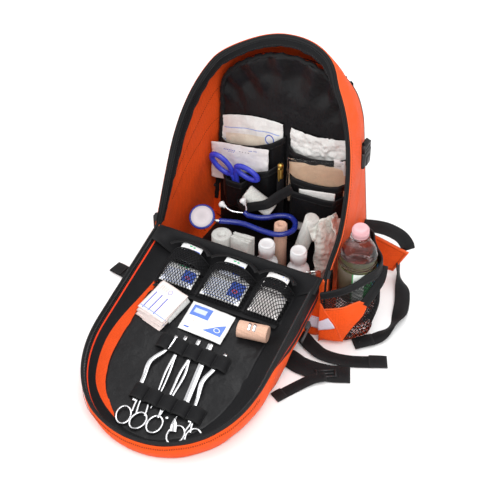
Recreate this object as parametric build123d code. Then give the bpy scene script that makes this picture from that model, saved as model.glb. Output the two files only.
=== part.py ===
from build123d import *
import os
from math import radians, tan

# Trauma backpack standing on its base with its front lid opened flat on the floor.
# Frame: origin on the floor under the middle of the pack, +X to the wearer's right when worn,
# -Y out of the front, +Y towards the wearer's back, +Z up.  Millimetres.

# Driving dimensions of the pack body
FRONT_Y = -105.0          # front wall at the lid's hinge line
FOOT_Y = -113.0           # front wall where it meets the floor
BACK_Y = 98.0             # back wall
HINGE_Z = 120.0           # height of the lid's hinge line
MOUTH_LEAN = 28.0         # the mouth leans back from vertical, degrees
FRONT_HALF_WIDTH = 154.0  # half widths of the body at the front and the back wall
BACK_HALF_WIDTH = 128.0
FRONT_TOP = 690.0         # arch heights, the front one is cut away by the mouth
BACK_TOP = 372.0
ARCH_START = 210.0        # the side walls are straight up to here
CORNER_R = 25.0           # lower corners
BASE_TRIM = 1.0           # sliver cut off the underside to leave it flat
FRONT_OVERRUN = 25.0      # the body's section is drawn this far in front of the front wall
WALL = 4.0                # padded fabric wall

# Driving dimensions of the lid, u across, v away from the hinge, h above the rim plane
LID_SLOPE = 14.0          # the opened lid slopes down to the floor, degrees
LID_HALF_WIDTH = 148.0
LID_BASE_HALF_WIDTH = 134.0
LID_STRAIGHT = 200.0
LID_LENGTH = 352.0
LID_BASE_LENGTH = 362.0
LID_DEPTH = 82.0
LID_WALL = 3.0
LID_FLOOR_GAP = 2.4       # height of the opened lid's underside above the floor
RIM_H = -0.8              # top edge of the lid's wall, just clear of the closed mouth
LINING_H = -28.0          # lining of the lid, below the rim
GAP = 0.5                 # clearance between soft neighbours

# Straps
WEB = 25.0                # webbing width
WEB_T = 1.6               # webbing thickness
LOOSE_WEB = 20.0          # narrower loose end of the belt
WEB_LIFT = 1.2            # middle of the webbing above the floor

parts = {}
mouth_frame = Pos(0, FRONT_Y, HINGE_Z) * Rot(90 - MOUTH_LEAN, 0, 0)
lid_frame = Pos(0, FRONT_Y, HINGE_Z) * Rot(LID_SLOPE, 0, 0)


def box(x0, x1, y0, y1, z0, z1):
    """Axis-aligned box between two corners."""
    centre = Pos((x0 + x1) / 2, (y0 + y1) / 2, (z0 + z1) / 2)
    return centre * Box(abs(x1 - x0), abs(y1 - y0), abs(z1 - z0))


def arch(half_width, bottom, start, top, corner):
    """Arched outline in XY: straight sides, half ellipse on top, rounded lower corners."""
    left = Line((-half_width, bottom), (-half_width, start))
    crown = EllipticalCenterArc((0, start), half_width, top - start, start_angle=0, arc_size=180)
    right = Line((half_width, start), (half_width, bottom))
    base = Line((half_width, bottom), (-half_width, bottom))
    face = make_face([left, crown, right, base])
    if corner:
        lower = face.vertices().sort_by(Axis.Y)[:2]
        face = fillet(lower, corner)
    return face


def upright(face, y):
    """Stand an XY outline up in the XZ plane at depth y."""
    return Plane((0, y, 0), x_dir=(1, 0, 0), z_dir=(0, -1, 0)) * face


def pack_volume(inset):
    """The pack body without its mouth cut, shrunk by inset all round, on a truly flat base."""
    corner = CORNER_R - inset / 2
    below = inset - BASE_TRIM
    front = arch(FRONT_HALF_WIDTH - inset, below, ARCH_START, FRONT_TOP - inset, corner)
    back = arch(BACK_HALF_WIDTH - inset, below, ARCH_START, BACK_TOP - inset, corner)
    body = loft([upright(front, FRONT_Y - FRONT_OVERRUN), upright(back, BACK_Y)], ruled=True)
    return body & box(-300, 300, -300, 300, inset, 600)


def profile(front_inset, back_inset, open_mouth):
    """Side profile of the pack as a wide prism; open_mouth lets it run out of the mouth."""
    reach = 400.0
    foot = FOOT_Y + front_inset
    front = FRONT_Y + front_inset
    back = BACK_Y - back_inset
    top_z = 520.0
    lip_z = HINGE_Z + front_inset / tan(radians(MOUTH_LEAN))
    if open_mouth:
        points = [(foot, 0), (front, lip_z), (front - reach, lip_z), (front - reach, top_z),
                  (back, top_z), (back, 0)]
    else:
        mouth_z = HINGE_Z + (back - front) / tan(radians(MOUTH_LEAN))
        points = [(foot, 0), (front, HINGE_Z), (back, mouth_z), (back, 0)]
    outline = make_face(Polyline(*points, close=True))
    return extrude(Plane.YZ * outline, amount=reach / 2, both=True)


def mouth_slab(depth_from, depth_to):
    """Layer parallel to the mouth, between two depths behind it, above the hinge line."""
    return mouth_frame * box(-200, 200, 8, 420, -depth_to, -depth_from)


# ---------------------------------------------------------------- pack body

def main_shell():
    outer = pack_volume(0) & profile(0, 0, False)
    inner = pack_volume(WALL) & profile(WALL, WALL, True)
    return outer - inner


def body_zip_tape():
    ring = pack_volume(WALL + GAP) - pack_volume(WALL + GAP + 1.4)
    return ring & mouth_slab(1, 18) & profile(WALL + GAP, WALL + GAP, False)


LINING_Y = 76.0
PANEL_T = 2.0


def back_lining_panel():
    return extrude(upright(arch(122, 10, 200, 386, 20), LINING_Y), amount=-PANEL_T)


def frame_sheet():
    return extrude(upright(arch(117, 14, 200, 372, 20), LINING_Y + 5), amount=-PANEL_T)


def back_pad():
    return extrude(upright(arch(106, 18, 190, 342, 20), BACK_Y + GAP), amount=-13)


def base_board():
    return box(-102, 102, -96, 74, WALL + GAP, WALL + GAP + 3)


def pocket(x0, x1, y_front, y_back, z0, z1, wall=1.5):
    """Flat pouch sewn to the panel behind it: a front sheet with side and lower edges."""
    outer = box(x0, x1, y_front, y_back, z0, z1)
    inner = box(x0 + wall, x1 - wall, y_front + wall, y_back + 5, z0 + wall, z1 + 5)
    return outer - inner


UPPER_Y = 62.0
LOWER_Y = 48.0
POUCH_LEAN = 9.0          # the lower left pouch gapes forwards at its top, degrees
pouch_frame = Pos(0, 46, 60) * Rot(POUCH_LEAN, 0, 0)


def organiser_pockets_left():
    upper = pocket(-122, -8, UPPER_Y, LINING_Y - GAP, 120, 212)
    lower = pouch_frame * pocket(-122, -10, 0, 14, 0, 78)
    return Compound(children=[upper, lower])


def organiser_pockets_right():
    upper = pocket(2, 121, UPPER_Y, LINING_Y - GAP, 130, 220)
    middle = pocket(4, 120, LOWER_Y, UPPER_Y - GAP, 110, 174)
    lower = pocket(9, 118, LOWER_Y - 10, LOWER_Y - GAP, 60, 148)
    return Compound(children=[upper, middle, lower])


def dressing_packs():
    left = box(-118, -12, 65, 69, 124, 252)
    right = box(6, 116, 65, 73, 134, 258)
    return Compound(children=[left, right])


def paper_pack():
    return box(-119, -28, 58, 59.5, 64, 199)


def beige_pack():
    return box(10, 112, 52, 58, 114, 200)


def slip_card():
    return box(16, 100, 42, 43.5, 66, 154)


def penlight():
    return Pos(1.5, 42.3, 137) * Cylinder(5, 118)


def roll_strap():
    """Slanting elastic band that stands off the pockets and holds the gauze roll."""
    plan = make_face(Polyline((-67, 37), (-61, 3), (-3.5, 3), (25, 36.4), (23, 37.4), (-4.4, 4.6),
                              (-60, 4.6), (-65.5, 37), close=True))
    wall = Pos(0, 0, 60) * extrude(plan, 140)
    slant = Pos(-20, 20, 128) * Rot(0, -30, 0) * Box(160, 80, 18)
    return wall & slant


def gauze_roll():
    return Pos(-25, 18, 123) * Rot(0, -63, 0) * Cylinder(13, 54)


SHEARS_X = -81.0          # blades, across
SHEARS_DEPTH = 6.0        # middle of the shears behind the pouch's front


def bow(x, height, length, width, turn):
    """Finger ring of the shears, in the frame of the pouch that holds them."""
    ring = Ellipse(length, width) - Ellipse(length - 6.5, width - 6.5)
    ring = extrude(ring, 3, both=True)
    return pouch_frame * Pos(x, SHEARS_DEPTH, height) * Rot(90, 0, 0) * Rot(0, 0, turn) * ring


def trauma_shears():
    """Two bows above the pouch and the closed blades inside it."""
    neck = box(SHEARS_X - 6, SHEARS_X + 6, SHEARS_DEPTH - 3, SHEARS_DEPTH + 3, 66, 101)
    blades = box(SHEARS_X - 5, SHEARS_X + 5, SHEARS_DEPTH - 1.2, SHEARS_DEPTH + 1.2, 6, 67)
    rings = bow(-104, 103, 27, 16, -48) + bow(-57, 99, 24, 14, -22)
    return rings + pouch_frame * (neck + blades)


# ---------------------------------------------------------------- side pockets and straps

POCKET_X = 150.0
POCKET_Y = -45.0
POCKET_RX = 80.0
POCKET_RY = 82.0


def pouch_plan(reach, half_depth):
    """Half-elliptical pouch in plan, its rear edge carried straight in to the wall."""
    return Ellipse(reach, half_depth) + Pos(-10, half_depth / 2) * Rectangle(20, half_depth)


def side_pocket_right():
    """Mesh pouch, half elliptical in plan, with a rim that rises outwards and backwards."""
    outer = Pos(POCKET_X, POCKET_Y, 3) * extrude(pouch_plan(POCKET_RX, POCKET_RY), 220)
    inner = Pos(POCKET_X, POCKET_Y, 6) * extrude(pouch_plan(POCKET_RX - 3, POCKET_RY - 3), 220)
    rim = Pos(POCKET_X, POCKET_Y, 121) * Rot(9, 0, 0) * Rot(0, -31, 0)
    above = rim * Pos(0, 0, 200) * Box(600, 600, 400)
    pouch = outer - inner - above
    inside = box(0, POCKET_X + 1, -300, POCKET_Y, 0, 300) + box(0, POCKET_X - 19, POCKET_Y, 300, 0, 300)
    return pouch - pack_volume(-GAP) - inside


def side_pocket_left():
    """The same pouch empty, lying flat against the wall."""
    wall_x = -FRONT_HALF_WIDTH
    sheet = box(wall_x - 10, 0, -84, 30, 4, 110) - box(wall_x - 8, 0, -81, 27, 7, 200)
    return sheet - pack_volume(-GAP)


BOTTLE = (188.5, -72.0)
BOTTLE_R = 30.5


def water_bottle():
    """Half-litre drink bottle as one body of revolution."""
    wall_top = (BOTTLE_R, 135)
    neck_foot = (12.5, 190)
    base = Polyline((0, 0), (BOTTLE_R - 3, 0), (BOTTLE_R, 4), wall_top)
    shoulder = Spline(wall_top, (26, 165), neck_foot, tangents=[(0, 1), (0, 1)])
    neck = Polyline(neck_foot, (12.5, 209), (0, 209), (0, 0))
    body = revolve(Plane.XZ * make_face([*base.edges(), shoulder, *neck.edges()]), Axis.Z)
    return Pos(BOTTLE[0], BOTTLE[1], 8) * body


def water_bottle_cap():
    cap = Cylinder(15.5, 16) - Pos(0, 0, -1.5) * Cylinder(13, 16)
    return Pos(BOTTLE[0], BOTTLE[1], 211) * cap


def reflective_strips():
    strips = []
    for side in (-1, 1):
        strip = box(side * 95, side * 130, FOOT_Y - 4, FRONT_Y, 22, 44)
        strip = strip - profile(-GAP, 0, False)
        strips.append(strip & box(-300, 300, -140, -100, 0, 60))
    return Compound(children=strips)


WING_Y = 76.0


def strap_wings():
    """Triangular tabs at the lower back corners that carry the shoulder webbing."""
    points = [(120, 8), (120, 86), (222, 62), (202, 14)]
    wings = []
    for side in (-1, 1):
        outline = make_face(Polyline(*[(side * x, z) for x, z in points], close=True))
        wing = extrude(upright(outline, WING_Y), amount=3)
        wings.append(wing - pack_volume(-GAP))
    return Compound(children=wings)


def ribbon(points, width, thickness, z):
    """Flat strap on the floor along a smooth line of (x, y) points."""
    line = Spline(*[(x, y) for x, y in points])
    start = line % 0
    section = Plane(origin=line @ 0, x_dir=start.cross(Vector(0, 0, 1)), z_dir=start)
    strap = sweep(section * Rectangle(width, thickness), path=line)
    return Pos(0, 0, z) * strap


def strap_tails():
    """Loose ends of the shoulder webbing, from the wings round to the front."""
    path = [(203, 92), (229, 46), (245, 0), (248, -36), (233, -78), (204, -103)]
    tails = []
    for side in (-1, 1):
        reach = path if side > 0 else [(203, 92), (222, 60), (226, 30)]
        tails.append(ribbon([(side * x, y) for x, y in reach], WEB, WEB_T, WEB_LIFT))
    return Compound(children=tails)


def waist_belt():
    """Belt webbing that comes out from under the front of the pack on both sides."""
    runs = [
        ([(60, -131), (112, -132), (172, -149), (212, -143), (262, -120)], WEB),
        ([(20, -150), (90, -172), (148, -184), (224, -176)], WEB),
        ([(-60, -132), (-130, -134), (-235, -118)], WEB),
        ([(186, -207), (158, -229), (136, -270)], LOOSE_WEB),
    ]
    return Compound(children=[ribbon(points, width, WEB_T, WEB_LIFT) for points, width in runs])


LOCK = (190.0, -183.0)


def ladder_lock():
    """Bridge that the belt webbing runs under, with a window for the loose end."""
    bridge = box(-7, 7, -18, 18, 0.2, 7) - box(-20, 20, -14.5, 14.5, 0, 3.4)
    window = box(-3, 3, -12, 12, 0, 20)
    return Pos(*LOCK) * (bridge - window)


# ---------------------------------------------------------------- compression buckle

BUCKLE = (135.0, 58.0, 250.0)


def buckle_female():
    x, y, z = BUCKLE
    outer = box(x, x + 10, y - 14, y + 14, z - 20, z + 8)
    socket = box(x + 2, x + 8, y - 11, y + 11, z - 14, z + 20)
    return outer - socket


def buckle_male():
    x, y, z = BUCKLE
    body = box(x + 1, x + 9, y - 12, y + 12, z + 9, z + 22)
    prongs = [box(x + 3, x + 7, y + s - 2, y + s + 2, z - 12, z + 9) for s in (-8, 0, 8)]
    slot = box(x - 5, x + 15, y - 9, y + 9, z + 15, z + 18)
    return body + prongs[0] + prongs[1] + prongs[2] - slot


# ---------------------------------------------------------------- handle and shoulder straps

def half_ring(rx, ry, width, thickness):
    """Standing webbing arch in XZ with its feet at z = 0."""
    band = Ellipse(rx, ry) - Ellipse(rx - thickness, ry - thickness)
    band = extrude(band, width / 2, both=True)
    return Rot(90, 0, 0) * band & box(-200, 200, -100, 100, 0, 200)


HANDLE = (0.0, 106.5, 356.0)
HANDLE_DROOP = -130.0     # the handle flops down behind the pack, degrees from upright


def grab_handle():
    return Pos(*HANDLE) * Rot(HANDLE_DROOP, 0, 0) * half_ring(32, 36, 14, 4)


STRAP_TOP_Z = 332.0
STRAP_Y = 115.0


def shoulder_strap(side):
    """Padded S-shaped strap hanging down the wearer's side of the pack."""
    line = Spline((0, 4, 0), (0, 16, -70), (0, 18, -150), (0, 9, -235))
    start = line % 0
    section = Plane(origin=line @ 0, x_dir=(1, 0, 0), z_dir=start)
    strap = sweep(section * RectangleRounded(58, 11, 4), path=line)
    return Pos(side * 69, STRAP_Y, STRAP_TOP_Z) * Rot(0, -side * 5, 0) * strap


# ---------------------------------------------------------------- kit in the compartment

def standing_roll(x, y, radius, top, bottom=8.5):
    return Pos(x, y, (top + bottom) / 2) * Cylinder(radius, top - bottom)


PILL_BOTTLES = [(26, -58), (79, -50)]


def pill_bottles():
    bottles = []
    for x, y in PILL_BOTTLES:
        body = standing_roll(x, y, 19, 80)
        neck = standing_roll(x, y, 10, 98, 80)
        bottles.append(body + neck)
    return Compound(children=bottles)


def pill_bottle_caps():
    caps = []
    for x, y in PILL_BOTTLES:
        cap = standing_roll(x, y, 13, 112, 88) - standing_roll(x, y, 10.4, 100, 82)
        caps.append(cap)
    return Compound(children=caps)


def rolled_bandage():
    return Pos(72, -8, 105) * Rot(0, 14, 0) * Cylinder(12, 90)


def glove_bag():
    return box(96, 125, -20, 28, 16, 140)


def stethoscope_tube():
    line = Spline((-66, -48, 116), (-30, -34, 113), (10, -36, 113), (36, -32, 113), (51, -14, 113),
                  (47, 6, 113), (32, 16, 113), (14, 10, 113), (0, -2, 113), (-14, -9, 113), (-32, -13, 114))
    start = line % 0
    return sweep(Plane(origin=line @ 0, z_dir=start) * Circle(4.5), path=line)


def stethoscope_chest_piece():
    disc = Cylinder(21, 7) + Pos(0, 0, -8) * Cylinder(12, 9)
    return Pos(-92, -58, 122) * Rot(32, 8, 0) * disc


EAR_TIP_R = 6.5


def stethoscope_binaurals():
    """Two ear tubes, each ending in a soft tip."""
    tubes = []
    runs = [[(-39, -14, 117), (-56, -22, 121), (-69, -20, 124)],
            [(-36, -8, 119), (-37, -6, 124), (-40, -5, 128)]]
    for run in runs:
        line = Spline(*run)
        tubes.append(sweep(Plane(origin=line @ 0, z_dir=line % 0) * Circle(1.8), path=line))
        tip_centre = line @ 1 + (line % 1) * (EAR_TIP_R + GAP / 2)
        tubes.append(Pos(*tip_centre) * Sphere(EAR_TIP_R))
    return Compound(children=tubes)


# ---------------------------------------------------------------- lid

def lid_outline(half_width, length, straight=LID_STRAIGHT):
    """Lid outline in its own frame, hinge at y = 0, tip towards -y."""
    tip = EllipticalCenterArc((0, -straight), half_width, length - straight,
                               start_angle=180, arc_size=180)
    left = Line((-half_width, -straight), (-half_width, 0))
    hinge = Line((-half_width, 0), (half_width, 0))
    right = Line((half_width, 0), (half_width, -straight))
    return make_face([tip, right, hinge, left])


def lid_volume(inset, floor_inset, hinge_inset, top=0.0):
    """The lid's solid envelope at rest, cut by the floor and by its sloped hinge end."""
    rim_width = LID_HALF_WIDTH - inset + top * (LID_HALF_WIDTH - LID_BASE_HALF_WIDTH) / LID_DEPTH
    rim_length = LID_LENGTH - inset - top * (LID_BASE_LENGTH - LID_LENGTH) / LID_DEPTH
    rim = Pos(0, 0, top) * lid_outline(rim_width, rim_length)
    base = Pos(0, 0, -LID_DEPTH) * lid_outline(LID_BASE_HALF_WIDTH - inset, LID_BASE_LENGTH - inset)
    body = lid_frame * loft([base, rim], ruled=True)
    above_floor = box(-300, 300, -600, 100, LID_FLOOR_GAP + floor_inset, 400)
    hinge_end = make_face(Polyline((FRONT_Y - 3 - hinge_inset, 400), (FRONT_Y - 3 - hinge_inset, 118),
                                   (FRONT_Y - 24 - hinge_inset, 0), (-600, 0), (-600, 400), close=True))
    hinge_cut = extrude(Plane.YZ * hinge_end, amount=300, both=True)
    return body & above_floor & hinge_cut


def lid_shell():
    below_rim = lid_frame * box(-200, 200, -500, 50, -200, RIM_H)
    return (lid_volume(0, 0, 0) & below_rim) - lid_volume(LID_WALL, LID_WALL, LID_WALL, top=20.0)


def lid_slab(h_from, h_to):
    return lid_frame * box(-200, 200, -500, -14, h_from, h_to)


def lid_band(h_low, h_high):
    """Tape that hugs the outside of the lid's wall between two heights."""
    ring = lid_volume(-GAP - 1.4, 0, 0) - lid_volume(-GAP, -5, -5, top=10.0)
    return ring & lid_slab(h_low, h_high)


def lid_lining_panel():
    return lid_volume(LID_WALL + GAP, 0, LID_WALL + GAP) & lid_slab(LINING_H - 1.5, LINING_H)


def on_lid(u0, u1, v0, v1, h0, h1):
    """Box on the lid lining: u across, v from the hinge, h above the lining."""
    return lid_frame * box(u0, u1, -v0, -v1, LINING_H + GAP + h0, LINING_H + GAP + h1)


MESH_COLUMNS = [(-112, -42), (-38, 42), (46, 112)]
MESH_FROM = 21


def mesh_pockets():
    pouches = []
    for u0, u1 in MESH_COLUMNS:
        pouches.append(on_lid(u0, u1, MESH_FROM, 84, 0, 26) - on_lid(u0 + 2, u1 - 2, 0, 82, -5, 24))
    return Compound(children=pouches)


def mesh_hem_band():
    return on_lid(-114, 112, 85, 98, 0, 3)


def card_packs():
    packs = [on_lid(u0 + 6, u1 - 6, MESH_FROM + 3, 79, 1, 20) for u0, u1 in MESH_COLUMNS]
    return Compound(children=packs)


def plaster_stack():
    return on_lid(-106, -50, 100, 152, 0, 18)


def gauze_pack():
    return on_lid(-34, 42, 101, 150, 0, 10)


def elastic_bandage():
    return lid_frame * Pos(82, -115, LINING_H + GAP + 14) * Rot(0, 90, 8) * Cylinder(13.5, 48)


LOOP_ROWS = [(168, 193, -55, 68), (260, 285, -50, 72)]


def instrument_loops():
    """Two elastic bands, each a bridge that stands clear of the instruments."""
    bands = []
    for v0, v1, u0, u1 in LOOP_ROWS:
        bands.append(on_lid(u0, u1, v0, v1, 0, 10) - on_lid(u0 + 3, u1 - 3, v0 - 1, v1 + 1, -1, 8))
    return Compound(children=bands)


# middle, near end, far end and width of each instrument
INSTRUMENTS = [(-38, 152, 292, 8), (-14, 156, 296, 8), (9, 156, 298, 9), (33, 158, 308, 11),
               (52, 160, 292, 8)]


def forceps_set():
    """Slim instruments side by side through both rows of loops."""
    slim = [on_lid(u - w / 2, u + w / 2, v0, v1, 1, 6) for u, v0, v1, w in INSTRUMENTS]
    return Compound(children=slim)


RING_PAIRS = [(-41, -16), (10, 10), (49, 71)]
RING_V = 316.0
RING_R = 12.4
RING_BORE_R = 9.4


def ring_instruments():
    """Finger rings of the scissors and clamps beyond the lower row of loops."""
    rings = []
    for left, right in RING_PAIRS:
        ring = None
        for u in sorted({left, right}):
            hoop = Cylinder(RING_R, 4) - Cylinder(RING_BORE_R, 6)
            hoop = lid_frame * Pos(u, -RING_V, LINING_H + GAP + 3.5) * hoop
            ring = hoop if ring is None else ring + hoop
        if left == right:
            ring = ring + on_lid(left - 2, left + 2, 300, 305, 1.5, 5.5)
        rings.append(ring)
    return Compound(children=rings)


# ---------------------------------------------------------------- zip sliders

SLIDER = (153.8, -99.4, 130.6)
SLIDER_LENGTH = 14.0
SLIDER_WIDTH = 5.0
SLIDER_HEIGHT = 8.0


def slider_body():
    return fillet(Box(SLIDER_WIDTH, SLIDER_LENGTH, SLIDER_HEIGHT).edges().filter_by(Axis.Z), 1.5)


def zip_slider(side):
    """Slider on the straight side of the mouth, just outside the wall."""
    return Pos(side * SLIDER[0], SLIDER[1], SLIDER[2]) * Rot(90 - MOUTH_LEAN, 0, 0) * slider_body()


def zip_pull(side):
    """Pull tab hung on the slider's outer face."""
    tab = box(-0.8, 0.8, -3.5, 3.5, -32, 3) - Rot(0, 90, 0) * Cylinder(0.9, 4)
    return Pos(side * (SLIDER[0] + 3.5), SLIDER[1], SLIDER[2]) * tab


def pocket_zip_slider():
    return lid_frame * Pos(148.2, -70, -29) * slider_body()


def pocket_zip_pull():
    tab = box(-0.8, 0.8, -30, 4, -3.5, 3.5)
    return lid_frame * Pos(151.7, -70, -29) * tab


def build():
    parts["main_shell"] = main_shell()
    parts["body_zip_tape"] = body_zip_tape()
    parts["back_lining_panel"] = back_lining_panel()
    parts["frame_sheet"] = frame_sheet()
    parts["back_pad"] = back_pad()
    parts["base_board"] = base_board()
    parts["organiser_pockets_left"] = organiser_pockets_left()
    parts["organiser_pockets_right"] = organiser_pockets_right()
    parts["roll_strap"] = roll_strap()
    parts["side_pocket_right"] = side_pocket_right()
    parts["side_pocket_left"] = side_pocket_left()
    parts["reflective_strips"] = reflective_strips()
    parts["strap_wings"] = strap_wings()
    parts["strap_tails"] = strap_tails()
    parts["waist_belt"] = waist_belt()
    parts["ladder_lock"] = ladder_lock()
    parts["buckle_female"] = buckle_female()
    parts["buckle_male"] = buckle_male()
    parts["grab_handle"] = grab_handle()
    parts["shoulder_strap_left"] = shoulder_strap(-1)
    parts["shoulder_strap_right"] = shoulder_strap(1)
    parts["zip_slider_left"] = zip_slider(-1)
    parts["zip_slider_right"] = zip_slider(1)
    parts["zip_pull_left"] = zip_pull(-1)
    parts["zip_pull_right"] = zip_pull(1)
    parts["trauma_shears"] = trauma_shears()
    parts["dressing_packs"] = dressing_packs()
    parts["paper_pack"] = paper_pack()
    parts["beige_pack"] = beige_pack()
    parts["slip_card"] = slip_card()
    parts["penlight"] = penlight()
    parts["gauze_roll"] = gauze_roll()
    parts["stethoscope_tube"] = stethoscope_tube()
    parts["stethoscope_chest_piece"] = stethoscope_chest_piece()
    parts["stethoscope_binaurals"] = stethoscope_binaurals()
    parts["tape_roll"] = standing_roll(-53, -64, 17, 106)
    parts["gauze_block"] = box(-32, 3, -76, -50, 8.5, 116)
    parts["beige_roll"] = standing_roll(28, -10, 11, 116)
    parts["rolled_bandage"] = rolled_bandage()
    parts["glove_bag"] = glove_bag()
    parts["foil_packet"] = box(106, 130, -92, -70, 8.5, 108)
    parts["pill_bottles"] = pill_bottles()
    parts["pill_bottle_caps"] = pill_bottle_caps()
    parts["water_bottle"] = water_bottle()
    parts["water_bottle_cap"] = water_bottle_cap()
    parts["lid_shell"] = lid_shell()
    parts["lid_zip_tape"] = lid_band(-20, -SLIDER_HEIGHT / 2 - 1.5)
    parts["pocket_zip_tape"] = lid_band(-35, -23)
    parts["lid_lining_panel"] = lid_lining_panel()
    parts["mesh_pockets"] = mesh_pockets()
    parts["mesh_hem_band"] = mesh_hem_band()
    parts["card_packs"] = card_packs()
    parts["plaster_stack"] = plaster_stack()
    parts["gauze_pack"] = gauze_pack()
    parts["elastic_bandage"] = elastic_bandage()
    parts["instrument_loops"] = instrument_loops()
    parts["forceps_set"] = forceps_set()
    parts["ring_instruments"] = ring_instruments()
    parts["pocket_zip_slider"] = pocket_zip_slider()
    parts["pocket_zip_pull"] = pocket_zip_pull()


build()
os.makedirs("parts", exist_ok=True)
for name, shape in parts.items():
    export_step(shape, f"parts/{name}.step")
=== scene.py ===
from math import cos, pi, radians, sin, sqrt, tan

import bpy
from mathutils import Matrix, Vector, noise


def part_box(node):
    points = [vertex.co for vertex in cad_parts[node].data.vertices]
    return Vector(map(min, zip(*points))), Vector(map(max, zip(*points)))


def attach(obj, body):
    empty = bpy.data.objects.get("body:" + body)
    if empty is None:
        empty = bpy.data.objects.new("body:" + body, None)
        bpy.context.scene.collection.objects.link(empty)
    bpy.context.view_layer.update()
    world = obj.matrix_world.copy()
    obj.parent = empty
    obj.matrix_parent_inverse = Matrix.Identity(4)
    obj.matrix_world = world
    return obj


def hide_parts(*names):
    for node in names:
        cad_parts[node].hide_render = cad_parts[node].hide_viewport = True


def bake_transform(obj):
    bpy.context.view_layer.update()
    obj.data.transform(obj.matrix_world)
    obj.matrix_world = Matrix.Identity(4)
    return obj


# Trauma backpack standing open.  Metres, in the CAD frame: the pack stands on z = 0 with its
# open mouth towards -Y, and the lid lies in front of it on the floor.

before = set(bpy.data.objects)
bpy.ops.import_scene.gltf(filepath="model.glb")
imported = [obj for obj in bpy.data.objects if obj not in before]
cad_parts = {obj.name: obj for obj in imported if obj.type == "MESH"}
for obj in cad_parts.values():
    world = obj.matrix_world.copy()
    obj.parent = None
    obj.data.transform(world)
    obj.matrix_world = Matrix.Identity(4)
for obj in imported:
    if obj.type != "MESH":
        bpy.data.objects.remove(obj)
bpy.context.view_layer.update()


def smooth(x, low, high):
    """Smooth step from 0 at low to 1 at high."""
    t = min(max((x - low) / (high - low), 0.0), 1.0)
    return t * t * (3 - 2 * t)


def wave(x, y, z, scale, seed=0.0):
    """Smooth repeatable noise between -1 and 1."""
    return noise.noise(Vector((x, y, z)) * scale + Vector((seed, seed * 1.7, -seed)))


def crease(p, amount, scale, seed):
    """Soft cloth crease, in metres, same in every run."""
    return amount * (wave(*p, scale, seed) + 0.5 * wave(*p, scale * 2.3, seed + 5))


# ------------------------------------------------------------------ materials

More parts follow.
